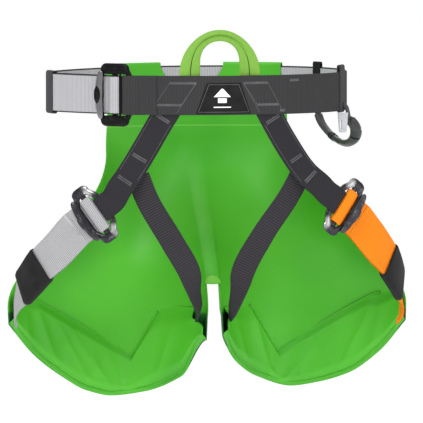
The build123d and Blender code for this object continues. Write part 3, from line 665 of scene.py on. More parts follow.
def makeLabel():
    size = label
    obj = patch("labelPatch", lambda v: size["halfLow"] + (size["halfHigh"] - size["halfLow"]) * v, size["low"],
                size["high"], size["lift"], labelCloth)
    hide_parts("label_patch")
    lift = size["lift"] + 0.08 * mm
    tip, base, foot = 8.6 * mm, -2.6 * mm, -9.4 * mm
    side = -1.8 * mm
    patch("arrowHead", lambda v: 11.6 * mm * (1 - v) + 0.05 * mm, base, tip, lift, whitePrint, 14, 20,
          0.02 * mm, side)
    patch("arrowStem", lambda v: 6.0 * mm + 0 * v, foot, base + 0.3 * mm, lift, whitePrint, 8, 12,
          0.02 * mm, side)
    patch("labelBar", lambda v: 11.0 * mm + 0 * v, -14.4 * mm, -12.4 * mm, lift, whitePrint, 6, 20,
          0.02 * mm, side)
    v = np.linspace(0, 1, 200)
    halfLow, halfHigh = size["halfLow"] - 3.0 * mm, size["halfHigh"] - 2.6 * mm
    low, high = size["low"] + 2.4 * mm, size["high"] - 2.4 * mm
    corners = np.array([(-halfLow, low), (halfLow, low), (halfHigh, high),
                       (-halfHigh, high), (-halfLow, low)])
    line = alongCorners(corners, 0.4 * mm)
    threads("labelThread", [onBelt(line[:, 0], line[:, 1], size["lift"] + dashes(len(line)))], greyThread,
            0.22 * mm)


beltSewing = {"boxLeft": [(-97, -17), (-85.5, -17), (-85.5, 17), (-97, 17)],
              "tacks": [((-60.5, 14), (-31.3, 14)), ((-75.0, -11), (-48.2, -11)), ((23, 14), (51, 14)),
                        ((39, -11), (64.3, -11)), ((-96, -15.5), (-96, 15.5)), ((78, 16.3), (89, 16.3)),
                        ((66, -18), (72, -18))],
              "slants": [((-60.5, 15), (-83, -20)), ((-31.3, 15), (-53, -20)), ((-48.2, -11), (-31.3, 14)),
                         ((22, 15), (42, -20)), ((51, 15), (70, -20)), ((23, 14), (39, -11))]}


def sewBelt():
    lines = []
    ring4 = beltSewing["boxLeft"] + beltSewing["boxLeft"][:1]
    runs = [ring4] + [list(pair) for pair in beltSewing["slants"]]
    for corners in runs:
        line = alongCorners(np.array(corners, float) * mm, 0.42 * mm)
        lines.append(onBelt(line[:, 0], line[:, 1], dashes(len(line))))
    for start, end in beltSewing["tacks"]:
        line = alongCorners(zigzag(start, end, 3.2, 1.5), 0.4 * mm)
        lines.append(onBelt(line[:, 0], line[:, 1], 0.22 * mm))
    threads("beltSewing", lines, greyThread, 0.26 * mm)


makeLabel()
sewBelt()
print("label and sewing made")

# ---- attachment loop ----
loopArch = {"x": -3.4 * mm, "spread": 34.5 * mm, "legWidth": 24 * mm, "crownWidth": 13 * mm, "legThick": 4 * mm,
            "crownThick": 8.4 * mm, "y": -107.0 * mm, "axisZ": 25.9 * mm, "apex": 68.2 * mm, "legLow": -20 * mm}


def makeAttachmentLoop():
    size = loopArch
    base = size["axisZ"] - 2 * mm
    rise = size["apex"] - base
    t = np.linspace(0, math.pi, 240)
    arch = np.stack([-size["spread"] * np.cos(t), size["y"] + 0 * \
                    t, base + rise * np.sin(t) ** 0.85], axis=-1)
    leg = np.linspace(size["legLow"], base, 40)[:-1]
    left = np.stack([-size["spread"] + 0 * leg, size["y"] + 0 * leg, leg], axis=-1)
    points = np.concatenate([left, arch, (left * [-1, 1, 1])[::-1]])
    s = lengths(points)
    at = np.linspace(0, s[-1], 420)
    points = np.stack([np.interp(at, s, points[:, k]) for k in range(3)], axis=1)
    kernel = np.hanning(13) / np.hanning(13).sum()
    padded = np.concatenate([np.repeat(points[:1], 6, 0), points, np.repeat(points[-1:], 6, 0)])
    points = np.stack([np.convolve(padded[:, k], kernel, "valid")
                      for k in range(3)], axis=1) + [size["x"], 0, 0]
    along = unit(np.gradient(points, axis=0))
    out = np.array([0.0, -1.0, 0.0])
    across = unit(np.cross(along, out))
    crown = smooth((points[:, 2] - base) / rise) ** 1.1
    wide = size["legWidth"] + (size["crownWidth"] - size["legWidth"]) * crown
    deep = size["legThick"] + (size["crownThick"] - size["legThick"]) * crown
    # profile: two rolled edges that meet in a groove down the middle of the front
    a = np.linspace(0, 2 * math.pi, 56, endpoint=False)
    px = np.sign(np.cos(a)) * np.abs(np.cos(a)) ** 0.8
    py = np.sign(np.sin(a)) * np.abs(np.sin(a)) ** 0.75
    groove = 1 - (0.25 + 0.5 * crown[:, None]) * np.exp(-(px[None, :] / 0.16) ** 2)
    front = py[None, :] * groove * deep[:, None] / 2
    body = points[:, None, :] + across[:, None, :] * \
        (px[None, :] * wide[:, None] / 2)[..., None] + out * front[..., None]
    ripple = 0.12 * mm * np.cos(2 * math.pi * at / (1.3 * mm))[:, None] * np.abs(py)[None, :]
    body = body + out * (np.sign(py)[None, :] * ripple)[..., None]
    seamLift = (groove.min(axis=1) * deep / 2 + 0.05 * mm)[:, None]
    seam = points + out * seamLift + across * (0.6 * mm)
    seamObj = threads("loopSeam", [seam[40:-40]], darkThread, 0.5 * mm, body=None)
    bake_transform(seamObj)
    uv = np.stack(np.broadcast_arrays(at[:, None], px[None, :] * wide[:, None] / 2), axis=-1)
    rows, columns = body.shape[:2]
    faces = gridFaces(rows, columns, closeColumns=True)
    half = columns // 2
    j = np.arange(half - 1)
    cap = np.stack([j, j + 1, columns - 2 - j, columns - 1 - j], axis=-1)
    faces = np.concatenate([faces[:, ::-1], cap[:, ::-1], cap + (rows - 1) * columns])
    obj = makeObject("attachmentLoop", body, faces, uv)
    finish(
    obj,
    limeWeb,
    body=None,
    nodes=[
        "attachment_loop",
         "attachment_loop_base"])
    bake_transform(obj)


makeAttachmentLoop()
print("attachment loop made")

# ---- gear loop ----
gear = {"path": [(136.8, 61.5, -33.0), (139.2, 56.0, -41.0), (144.5, 44.0, -50.5), (152.4, 25.0, -59.5),
                 (160.3, 0.0, -62.6), (165.6, -19.0, -56.5), (165.6, -34.0, -46.0), (161.5, -42.5, -38.0),
                 (156.5, -46.0, -33.0)],
        "facing": (1, 0.2, -0.5), "wide": 5.6 * mm, "thin": 3.2 * mm, "pivotZ": -27.0 * mm}


def makeGearLoop():
    points, facings, s = route(gear["path"], [gear["facing"]] * len(gear["path"]), 1.0 * mm)
    along, across, out = frames(points, facings)
    a = np.linspace(0, 2 * math.pi, 36, endpoint=False)
    flat = smooth((s / s[-1] - 0.55) / 0.3)[:, None]  # wider and flatter towards the front arm
    px = np.sign(np.cos(a)) * np.abs(np.cos(a)) ** 0.75
    py = np.sign(np.sin(a)) * np.abs(np.sin(a)) ** 0.9
    wide = gear["wide"] * (0.92 + 0.30 * flat)
    thin = gear["thin"] * (1.12 - 0.22 * flat)
    body = (points[:, None, :] + out[:, None, :] * (px[None, :] * wide)[..., None]
            + across[:, None, :] * (py[None, :] * thin)[..., None])
    grooves = [60.0, 63.5, 117.0]
    for at in grooves:
        dip = 0.14 * np.exp(-((s / mm - at) / 0.9) ** 2)[:, None, None]
        body = body * (1 - dip) + points[:, None, :] * dip
    rows, columns = body.shape[:2]
    faces = gridFaces(rows, columns, closeColumns=True)
    j = np.arange(columns // 2 - 1)
    cap = np.stack([j, j + 1, columns - 2 - j, columns - 1 - j], axis=-1)
    faces = np.concatenate([faces[:, ::-1], cap[:, ::-1], cap + (rows - 1) * columns])
    uv = np.stack(np.broadcast_arrays(s[:, None], a[None, :] * 5 * mm), axis=-1)
    obj = makeObject("gearLoop", body, faces, uv)
    finish(obj, mouldedGrey, "gear_loop", ["gear_loop"])
    for name, end, angle, lift in (("gearTabRear", 0, 39.0, 0.0),
                                   ("gearTabFront", -1, -27.5, 1.4 * mm)):
        top = ringPoint(np.array([angle]), lift + 1.2 * mm, -14 * mm)[0] if end else ringPoint(
            np.array([angle]), lift, -18 * mm)[0]
        foot = points[end] + along[end] * (4 * mm if end == 0 else -4 * mm)
        stations = np.array([top, top * 0.5 + (points[end] + [0, 0, 6 * mm]) * 0.5 + [0, 0, 1.5 * mm], points[end],
                             foot]) / mm
        path = route(stations, [ringNormal(angle)] * 4, 0.5 * mm)
        size = ([0, path[2][-1]], [8.4 * mm, 8.4 * mm] if end == 0 else [6.0 * mm, 13.5 * mm])
        tab = webbing(
    name,
    path,
    8.4 * mm,
    2.2 * mm,
    1.4 * mm,
    0.08 * mm,
    1.0 * mm,
    10,
     widths=size)
        finish(tab, mouldedGrey, body=None)
        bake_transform(tab)


def makeTapeRings():
    points, facings, s = route(gear["path"], [gear["facing"]] * len(gear["path"]), 0.25 * mm)
    along, across, out = frames(points, facings)
    rings, faces, count = [], [], 0
    a = np.linspace(0, 2 * math.pi, 32, endpoint=False)
    for at in (38.0, 43.5, 103.0):
        i = int(np.argmin(np.abs(s / mm - at)))
        share = np.array([-1, -0.8, 0.8, 1])
        grow = np.array([0.2, 0.75, 0.75, 0.2]) * mm
        for k in range(4):
            centre = points[i] + along[i] * share[k] * 0.8 * mm
            ring3 = (centre + out[i] * (np.cos(a) * (gear["wide"] * 1.0 + grow[k]))[:, None]
                     + across[i] * (np.sin(a) * (gear["thin"] * 1.12 + grow[k]))[:, None])
            rings.append(ring3)
        faces.append(gridFaces(4, 32, closeColumns=True, start=count)[:, ::-1])
        count += 4 * 32
    obj = makeObject("gearTapeRings", np.concatenate(rings), np.concatenate(faces),
                     np.zeros((count, 2)))
    finish(obj, blackTape, "gear_loop", ["gear_loop_bands"])


makeGearLoop()
makeTapeRings()
print("gear loop made")

# ---- leg buckles' places, risers and leg straps ----
sides = {"left": -1, "right": 1}
buckleAt = {"left": (-145.5, -95.0, -136.0), "right": (141.5, -97.0, -130.0)}
legAlong, legFacing = (0.72, -0.36, 0.59), (0.42, -0.90, -0.03)
riserTops = {"left": [(-46.0, 12.0), (-66.7, -22.5), (-73.5, -34.0)],
             "right": [(38.5, 12.0), (55.8, -22.5), (62.3, -34.0)]}
riserMiddles = {"left": [(-88.0, -101.5, -60.0), (-107.0, -103.5, -90.0)],
                "right": [(76.4, -102.0, -60.0), (98.0, -105.0, -91.0)]}
riserBends = {"left": (23.0, 7.0), "right": (20.8, -2.2)}
riserFacings = [(0.30, -0.95, 0.0), (0.36, -0.93, 0.0)]
innerRoute = {"left": [(-97.0, -100.5, -92.0), (-87.0, -99.0, -117.0), (-57.0, -92.0, -167.0),
                       (-33.0, -80.0, -208.0), (-25.5, -68.0, -232.0)],
              "right": [(91.5, -100.0, -91.0), (80.0, -99.2, -113.0), (49.0, -92.0, -161.0),
                        (28.0, -80.0, -203.0), (22.5, -68.0, -232.0)]}
innerFacings = [(0.30, -0.95, -0.05), (0.28, -0.95, -0.10), (0.05, -0.98, -0.20), (-0.40, -0.85, -0.30),
                (-0.80, -0.50, -0.25)]
legRoute = {"left": [(-186.0, -65.0, -180.0), (-199.0, -52.5, -194.5), (-209.0, -37.0, -210.5),
                     (-218.0, -20.0, -226.0), (-222.0, -9.0, -237.0)],
            "right": [(186.0, -66.0, -178.0), (199.0, -53.5, -193.0), (209.0, -38.0, -209.5),
                      (218.0, -21.0, -225.0), (222.0, -9.0, -237.0)]}
legFacings = [(0.60, -0.80, 0.0), (0.76, -0.65, 0.03), (0.86, -0.50, 0.06), (0.93, -0.35, 0.08),
              (0.99, -0.10, 0.05)]
legWeb = {"left": (legLight, "light_webbing"), "right": (legOrange, "orange_webbing")}
strap = {
    "width": 30 * mm,
    "inner": 27 * mm,
    "legWidth": 43 * mm,
    "web": 2.2 * mm,
     "legFrame": 35 * mm}


def mirrored(facings, sign):
    return [(x * sign, y, z) for x, y, z in facings]


def bucklePlane(side):
    sign = sides[side]
    facing = (legFacing[0] * sign, legFacing[1], legFacing[2])
    along = (-legAlong[0] * sign, legAlong[1], legAlong[2])
    return planeOf(np.array(buckleAt[side]) * mm, along, facing)


def local(plane, x, z, y=0.0):
    return tuple(placeIn(plane, x * mm, y * mm, z * mm) / mm)


def makeRiser(side):
    sign, plane = sides[side], bucklePlane(side)
    stations, facings = [], []
    for x, z in riserTops[side]:
        angle = frontAngle(x)
        stations.append(tuple(ringPoint(angle, -3.55 * mm, z * mm) / mm))
        facings.append(tuple(ringNormal(angle)))
    reach = strap["legFrame"] / 2 / mm
    bend = riserBends[side]
    facings += mirrored(riserFacings, sign)
    stations += riserMiddles[side] + [local(plane, reach + bend[0], -2.5, bend[1])]
    out = np.array(mirrored([legFacing], sign)[0])
    facings.append(tuple(out))
    # the fold round the fixed bar: over its front, round its inner side and back under
    lean = bend[1] / 23.0
    turned = []
    for x, z, y in ((reach + 9, -0.4, 3.0), (reach + 4, 1.6, 1.4), (reach - 1, 2.9, 0), (reach - 6, 2.7, 0),
                    (reach - 8.4, 0.6, 0), (reach - 7.4, -1.9, 0), (reach - 3, -2.9, 0)):
        turned.append(local(plane, x, z, y * lean))
    path = route(stations + turned, facings + [tuple(out)] * len(turned), 0.5 * mm)
    points = path[0]
    tangent = unit(np.gradient(points, axis=0))
    inPlane = np.linalg.norm(points - np.array(turned[0]) * mm, axis=1) < 26 * mm
    inPlane &= np.arange(len(points)) > len(points) * 0.55
    bent = unit(np.cross(-tangent, plane[2]))
    facing = unit(path[1])
    weight = smooth((np.arange(len(points)) - np.argmax(inPlane)) / \
                    45.0)[:, None] * inPlane[:, None]
    facing = unit(facing * (1 - weight) + bent * \
                  np.where(bent[np.argmax(inPlane)] @ plane[3] > 0, 1, -1) * weight)
    path = (points, facing, path[2])
    obj = webbing(
    "riser" + side.title(),
    path,
    strap["width"],
    1.5 * strap["web"],
    1.5 * mm,
    0.06 * mm,
     2.4 * mm)
    finish(obj, riserWeb, nodes=["riser_" + side])
    sewRiser(side, path)


def onStrap(path, s, y, lift):  # a place on a strap's face: along it, across it and above it
    points, facings, length = path
    across, out = frames(points, facings)[1:]
    pick = [np.stack([np.interp(s, length, field[:, k]) for k in range(3)], axis=1)
                     for field in (points, across, out)]
    return pick[0] + pick[1] * np.reshape(y, (-1, 1)) + pick[2] * np.reshape(lift, (-1, 1))


def sewRiser(side, path):
    # rows of running stitch down both edges, with bartacks across: (distance down, half width)
    face = 0.75 * strap["web"]
    tacks = {"left": [(44, 9), (97, 9), (128, 9)], "right": [(44, 9), (97, 8), (124, 9)]}[side]
    lines = []
    for y in (-12.0, 12.0):
        s = np.arange(46, 122, 0.42) * mm
        lines.append(onStrap(path, s, np.full(len(s), y * mm), face + dashes(len(s)) - 0.05 * mm))
    for down, half in tacks:
        for row in (0, 2.4):
            line = alongCorners(zigzag((down + row, -half), (down + row, half), 2.0, 1.4), 0.4 * mm)
            lines.append(onStrap(path, line[:, 0], line[:, 1],
                         np.full(len(line), face + 0.15 * mm)))
    threads("riserSewing" + side.title(), lines, greyThread, 0.24 * mm)


def makeInnerStrap(side):
    sign = sides[side]
    mouth = (sign * 19.5, -56.0, -248.0)
    deeper = (sign * 19.5, -33.0, -262.0)
    stations = innerRoute[side] + [mouth, deeper]
    facings = mirrored(innerFacings + [(-0.92, -0.35, -0.2), (-0.92, -0.30, -0.2)], sign)
    path = route(stations, facings, 0.4 * mm)
    end = path[2][-1]
    widths = ([0, end - 66 * mm, end - 24 * mm, end],
              [strap["inner"], strap["inner"], 17 * mm, 7 * mm])
    obj = webbing("innerStrap" + side.title(), path, strap["inner"], strap["web"], 2.9 * mm, 0.24 * mm, 1.6 * mm,
                  widths=widths)
    finish(obj, strapWeb, nodes=["inner_leg_strap_" + side])
    return path


def makeLegWebbing(side):
    sign, plane = sides[side], bucklePlane(side)
    material, slotName = legWeb[side]
    step = 0.45 * mm
    stations = [local(plane, -13.0, -5.4), local(plane, -30.0, -6.2)] + legRoute[side] + [
        (sign * 224.5, 6.0, -254.0), (sign * 220.0, 20.0, -266.0)]
    facings = mirrored([legFacing, legFacing] + legFacings + \
                       [(1.0, 0.05, 0.05), (0.95, 0.3, 0.0)], sign)
    path = route(stations, facings, step)
    end = path[2][-1]
    narrow = ([0, end - 58 * mm, end - 26 * mm, end], [strap["legWidth"]] * 2 + [26 * mm, 18 * mm])
    obj = webbing(
    "legWebbing" +
    side.title(),
    path,
    strap["legWidth"],
    strap["web"],
    1.9 *
    mm,
     widths=narrow)
    finish(obj, material, nodes=["leg_webbing_" + side])
    roll = localRoute(plane, [(0, -4.4), (3.6, -3.4), (5.7, -0.6), (5.2, 2.4), (2.0, 3.9), (-2.0, 3.9), (-5.2, 2.4),
                              (-5.9, -0.2), (-9.0, -2.4), (-16, -3.0), (-24, -3.4)], step)
    lift = 2.5 * mm
    outs = unit(np.array(mirrored([legFacing] + legFacings[:4], sign)))
    places = np.array([local(plane, -30.0, -6.2)] + legRoute[side][:4]) + outs * lift / mm
    down = route(places, outs, step)
    obj = webbing("legTail" + side.title(), joinRoutes(roll, down, step=step), strap["legWidth"], strap["web"],
                  1.9 * mm)
    finish(obj, material, nodes=["leg_tail_" + side])


def makeSleeve(side):
    sign = sides[side]
    points, facings, s = route(legRoute[side][1:4], mirrored(legFacings[1:4], sign), 0.8 * mm)
    across, out = frames(points, facings)[1:]
    loop = roundedLoop(23.7 * mm, 5.0 * mm, 4.2 * mm, 120)[0]
    core = roundedLoop(22.3 * mm, 3.9 * mm, 3.0 * mm, 120)[0]
    u = (s / s[-1])[:, None]
    ruck = 0.25 * mm * np.sin(u * 5 + 0.05 * loop[None, :, 0] / mm) * np.sin(math.pi * u)
    hug = 1 - 0.06 * smooth(1 - np.minimum(u, 1 - u) * 12)
    middle = points[:, None, :] + out[:, None, :] * 1.3 * mm
    outer = (middle + across[:, None, :] * (loop[None, :, 0] * hug)[..., None]
             + out[:, None, :] * (loop[None, :, 1] * hug + np.sign(loop[None, :, 1]) * ruck)[..., None])
    inner = middle + across[:, None, :] * (core[None, :, 0] + 0 * u)[..., None] + out[:, None, :] * (
        core[None, :, 1] + 0 * u)[..., None]
    obj = shell("legSleeve" + side.title(), outer, inner)
    finish(obj, sleeveCloth, side + "_leg_sleeve", ["leg_sleeve_" + side])


for side in sides:
    makeRiser(side)
    makeInnerStrap(side)
    makeLegWebbing(side)
    makeSleeve(side)
print("straps made")

# ---- buckles: a tubular frame, a centre bar and a rolled lip with an oval boss ----
def sweepClosed(centre, wide, high, out, sides=20):  # an oval section carried round a closed line
    along = unit(np.roll(centre, -1, axis=0) - np.roll(centre, 1, axis=0))
    across = np.cross(along, out)
    a = np.linspace(0, 2 * math.pi, sides, endpoint=False)
    return (centre[:, None, :] + across[:, None, :] * (np.cos(a)[None, :] * np.reshape(wide, (-1, 1)))[..., None]
            + np.asarray(out) * (np.sin(a)[None, :] * np.reshape(high, (-1, 1)))[..., None])


# a closed polygon walked evenly, its corners rounded by averaging
def softCorners(corners, count, blur):
    corners = np.array(corners, float)
    closed = np.concatenate([corners, corners[:1]])
    s = lengths(closed)
    at = np.linspace(0, s[-1], count, endpoint=False)
    points = np.stack([np.interp(at, s, closed[:, k]) for k in range(2)], axis=1)
    size = int(blur / s[-1] * count) | 1
    kernel = np.hanning(size + 2)[1:-1]
    kernel /= kernel.sum()
    padded = np.concatenate([points[-size:], points, points[:size]])
    rounded = np.stack([np.convolve(padded[:, k], kernel, "same") for k in range(2)], axis=1)
    return rounded[size:-size]


def bar(plane, x, z, halfWide, wide, high, bulge=0.0, taper=0.0, rows=90, sides=24):
    # a rounded bar across the buckle: it bows along the strap and thins towards its ends
    t = np.linspace(-1, 1, rows)
    ends = np.sqrt(np.clip(1 - np.abs(t) ** 14, 0, 1))
    thin = (1 - taper * np.abs(t) ** 2.2) * ends
    a = np.linspace(0, 2 * math.pi, sides, endpoint=False)
    px = x - bulge * (1 - t[:, None] ** 2) + np.cos(a)[None, :] * (wide * thin)[:, None]
    pz = z + np.sin(a)[None, :] * (high * thin)[:, None]
    return placeIn(plane, px, t[:, None] * halfWide + 0 * px,
                   pz), gridFaces(rows, sides, closeColumns=True)


# a solid shoulder of the waist buckle: a rounded block that runs along the belt
def wing(plane, y):
    t = np.linspace(-1, 1, 60)[:, None]
    a = np.linspace(0, 2 * math.pi, 24, endpoint=False)[None, :]
    ends = np.clip(1 - np.abs(t) ** 12, 0, 1) ** 0.5
    squareY, squareZ = np.sign(np.cos(a)) * np.abs(np.cos(a)
                               ) ** 0.6, np.sign(np.sin(a)) * np.abs(np.sin(a)) ** 0.6
    return (placeIn(plane, 1.0 * mm + 16 * mm * t + 0 * a, y + 4.0 * mm * squareY * ends, 0.6 * mm
                    + 2.9 * mm * squareZ * ends), gridFaces(60, 24, closeColumns=True))


def setField(obj, name, value):
    layer = obj.data.attributes.new(name, "FLOAT", "POINT")
    layer.data.foreach_set("value", np.asarray(value, np.float32).ravel())


def dome(plane, x, z, halfX, halfY, high, rings=16, around=64):
    # an oval cap: flat on top with a rounded rim
    r = np.linspace(1.0, 0.02, rings)[:, None]
    a = np.linspace(0, 2 * math.pi, around, endpoint=False)[None, :]
    lift = high * np.sqrt(np.clip(1 - r ** 5, 0, 1)) - 0.25 * mm * np.exp(-((r - 0.72) / 0.06) ** 2)
    return placeIn(plane, x + halfX * r * np.cos(a), halfY * r * np.sin(a), z + lift + 0 * a), gridFaces(
        rings, around, closeColumns=True)


def makeBuckle(name, plane, length, webWidth, kind):
    out = plane[3]
    halfX, halfY = length / 2, webWidth / 2 + 12.5 * mm
    tube = 3.7 * mm if kind == "leg" else 3.3 * mm
    x, y = halfX - tube, halfY - tube
    cutX, cutY = (8.5 * mm, 13 * mm) if kind == "leg" else (6 * mm, 11 * mm)
    line = softCorners([(x, y - cutY), (x - cutX, y), (cutX - x, y), (-x, y - cutY), (-x, cutY - y), (cutX - x, -y),
                        (x - cutX, -y), (x, cutY - y)], 260, 7 * mm)
    centre = placeIn(plane, line[:, 0], line[:, 1], 0.0)
    ends = smooth((np.abs(line[:, 1]) / mm - webWidth / 2 / mm + 3) / 6)
    fat = smooth((np.abs(line[:, 1]) - y + 5 * mm) / (4 * mm))
    points = [sweepClosed(
        centre, tube * (1 + (0.55 if kind == "leg" else 0.35) * fat), 2.6 * mm, out)]
    faces = [gridFaces(260, 20, closeRows=True, closeColumns=True)]
    # painted highlight: the frame's ends are brightened on the outward half of the tube only
    paintedHighlight = [np.repeat(ends * smooth((line[:, 0] / mm - 3) / 5)
                       * (0.85 if kind == "leg" else 0.0), 20)]
    paintedHighlight[0] = paintedHighlight[0] * \
        np.tile(smooth(np.sin(np.linspace(0, 2 * math.pi, 20, endpoint=False)) * 1.5 + 0.2), 260)
    rail, railFaces = bar(plane, 0.0, 0.0, y, 3.6 * mm, 1.6 * mm)
    points.append(rail.reshape(-1, 3))
    faces.append(railFaces + 260 * 20)
    paintedHighlight.append(np.zeros(len(points[-1])))
    if kind == "waist":  # a dark bar stands beside the roll
        count = 260 * 20 + len(points[-1])
        for piece in (bar(plane, 7.6 * mm, 2.2 * mm, webWidth / 2 + 2 * mm, 1.7 * mm, 1.6 * mm),
                      wing(plane, webWidth / 2 + 5 * mm), wing(plane, -webWidth / 2 - 5 * mm)):
            faces.append(piece[1] + count)
            points.append(piece[0].reshape(-1, 3))
            paintedHighlight.append(np.zeros(len(points[-1])))
            count += len(points[-1])
    obj = makeObject(
        name + "Frame", np.concatenate([p.reshape(-1, 3) for p in points]), np.concatenate(faces))
    setField(obj, "paintedHighlight", np.concatenate(paintedHighlight))
    nodes = {"waistBuckle": "waist_buckle_frame", "buckleLeft": "leg_buckle_frame_left",
             "buckleRight": "leg_buckle_frame_right"}
    plates = {"waistBuckle": "waist_buckle_lock_plate", "buckleLeft": "leg_buckle_lock_plate_left",
              "buckleRight": "leg_buckle_lock_plate_right"}
    bodies = {
    "waistBuckle": "waist_lock_plate",
    "buckleLeft": "left_lock_plate",
     "buckleRight": "right_lock_plate"}
    finish(obj, blackMetal if kind == "waist" else buckleMetal, nodes=[nodes[name]])
    lipX = 3.2 * mm - halfX if kind == "leg" else 4.6 * mm - halfX
    wide, high = (4.6 * mm, 2.2 * mm) if kind == "leg" else (4.4 * mm, 2.0 * mm)
    lip, lipFaces = bar(plane, lipX + 1.4 * mm, 4.9 * mm, webWidth / \
                        2 + 5.5 * mm, wide, high, 2.4 * mm, 0.30)
    groove = 0.5 * mm * np.exp(-((np.arange(24) - 4) / 1.2) ** 2)
    lip = lip - out * groove[None, :, None]
    cap, capFaces = dome(plane, lipX - 2.6 * mm, 6.2 * mm, 3.9 * mm, 10.5 * mm, 1.3 * mm)
    obj = makeObject(name + "Lip", lip, lipFaces)
    # painted highlight: the lip brightens slightly towards its ends
    setField(obj, "paintedHighlight", np.repeat(0.06 * smooth((np.abs(np.linspace(-1, 1, 90)) - 0.6) / 0.3), 24))
    finish(obj, greyMetal if kind == "waist" else buckleMetal,
           bodies[name], [plates[name]])
    boss = makeObject(name + "Boss", cap, capFaces)
    finish(boss, blackMetal if kind == "waist" else buckleMetal, bodies[name])


makeBuckle("waistBuckle", waistPlane, belt["buckleLength"], 2 * belt["half"], "waist")
for side in sides:
    makeBuckle(
    "buckle" +
    side.title(),
    bucklePlane(side),
    strap["legFrame"],
    strap["legWidth"],
     "leg")
print("buckles made")

# ---- seat: level sections that change from the belt's arc to two thighs ----
seat = {"top": 20 * mm, "halfTop": 104 * mm, "slotHalf": 9 * mm, "slotTop": -221 * mm, "centreX": 118 * mm,
        "outerReach": 131 * mm, "frontY": -45 * mm, "depth": 115 * mm, "sweep": 150.0, "offset": 4.4 * mm,
        "sheet": 1.3 * mm, "pocket": 5.4 * mm}
hems = {"left": [(9, -285), (24, -330), (64, -350), (104, -355), (135, -349), (165, -333), (198, -308), (232, -268)],
        "right": [(9, -279), (30, -314), (57, -333), (104, -346), (137, -342), (174, -331), (207, -305),
                  (234, -264)]}
welds = {"left": [(5, -251), (20, -250), (48, -250), (79, -309), (160, -262), (205, -238), (240, -228)],
         "right": [(5, -251), (20, -250), (55, -252), (86, -306), (160, -262), (198, -240), (240, -228)]}


def seatSection(share, z):
    # the upper section follows the rear of the belt, the lower one a thigh's ellipse; the height
    # blends them
    share, z = np.broadcast_arrays(np.asarray(share, float), np.asarray(z, float))
    turn = np.radians(seat["sweep"] * share)
    reach = np.where(turn < math.pi / 2, seat["centreX"] - seat["slotHalf"], seat["outerReach"])
    lowX = seat["centreX"] - reach * np.cos(turn)
    lowY = seat["frontY"] + seat["depth"] * np.sin(turn)
    highX = seat["slotHalf"] + (seat["halfTop"] + 4 * mm * np.exp(-((z + 84 * mm) / (34 * mm)) ** 2)
                                - seat["slotHalf"]) * share
    highY = np.sqrt((ring["flatRadius"] + seat["offset"]) ** 2 - highX ** 2) - flatShift
    side = smooth((-75 * mm - z) / (175 * mm))
    front = smooth((-55 * mm - z) / ((205 - 95 * share) * mm))
    return highX + (lowX - highX) * side, highY + (lowY - highY) * front


def seatPoint(share, z, inset):
    # moved towards the wearer by the inset, along the section's own level normal
    tiny = 1e-3
    x, y = seatSection(share, z)
    x0, y0 = seatSection(np.asarray(share) - tiny, z)
    x1, y1 = seatSection(np.asarray(share) + tiny, z)
    dx, dy = x1 - x0, y1 - y0
    near = smooth(np.asarray(share) / 0.12)
    dx, dy = dx * near + (1 - near) * 0.75 * np.hypot(dx, dy), dy * \
                          near + (1 - near) * 0.66 * np.hypot(dx, dy)
    size = np.maximum(np.hypot(dx, dy), 1e-9)
    tuck = 12 * mm * np.clip((seat["slotTop"] - z) / (130 * mm), 0, None) ** 2
    move = inset + tuck
    return np.stack(np.broadcast_arrays(x + dy / size * move, y - dx / size * move, z), axis=-1)


def lineHeight(line, x):
    # height of a front-view line at a distance from the centre: a cubic whose slopes never
    # overshoot
    line = np.array(line, float) * mm
    secant = np.diff(line[:, 1]) / np.diff(line[:, 0])
    slope = np.concatenate([secant[:1], np.zeros(len(secant) - 1), secant[-1:]])
    same = secant[1:] * secant[:-1] > 0
    slope[1:-1][same] = 2 / (1 / secant[1:][same] + 1 / secant[:-1][same])
    x = np.clip(x, line[0, 0], line[-1, 0])
    i = np.clip(np.searchsorted(line[:, 0], x, "right") - 1, 0, len(line) - 2)
    h = line[i + 1, 0] - line[i, 0]
    u = (x - line[i, 0]) / h
    return ((2 * u ** 3 - 3 * u ** 2 + 1) * line[i, 1] + (u ** 3 - 2 * u ** 2 + u) * h * slope[i]
            + (3 * u ** 2 - 2 * u ** 3) * line[i + 1, 1] + (u ** 3 - u ** 2) * h * slope[i + 1])


def hemAt(side, share):
    z = np.full(np.shape(share), -300 * mm)
    for _ in range(6):  # the hem line is drawn against x, which depends a little on height
        x = seatSection(share, z)[0]
        z = lineHeight(hems[side], x)
    return z


def weldAt(side, share):
    x = seatSection(share, np.full(np.shape(share), -290 * mm))[0]
    line = np.array(welds[side], float) * mm
    return np.interp(x, line[:, 0], line[:, 1])


# the others are these meshes' own areas, rounded, so their area shares test nothing
creases = {"left": [(0.47, 0.16, 2.6, 0.018), (0.49, -0.05, 2.2, 0.014), (0.50, 0.34, 2.0, 0.02),
                    (0.60, 0.05, 2.4, 0.016), (0.61, 0.26, 2.0, 0.018), (0.77, 0.12, 2.4, 0.018),
                    (0.79, -0.12, 2.2, 0.016), (0.34, -0.14, 1.8, 0.02), (0.90, 0.03, 1.8, 0.02),
                    (0.68, -0.20, 1.6, 0.014)],
           "right": [(0.42, 0.10, 2.4, 0.016), (0.44, -0.10, 2.2, 0.016), (0.47, 0.30, 2.0, 0.02),
                     (0.56, 0.12, 2.0, 0.014), (0.70, 0.02, 2.6, 0.016), (0.72, 0.22, 2.2, 0.018),
                     (0.73, -0.16, 2.0, 0.014), (0.30, -0.12, 1.8, 0.02), (0.86, 0.06, 2.0, 0.02)]}


def folds(side, share, depth):
    # soft creases: each runs from a point low on the lobe, leans as it climbs, widens and fades
    total = 0 * share + 0 * depth
    for start, lean, height, width in creases[side]:
        away = (share - start - lean * (1 - depth)) / (width * (0.8 + 2.2 * (1 - depth)))
        total = total + height * mm * np.exp(-np.abs(away) ** 1.5) * smooth((depth - 0.1) / 0.6)
    return total


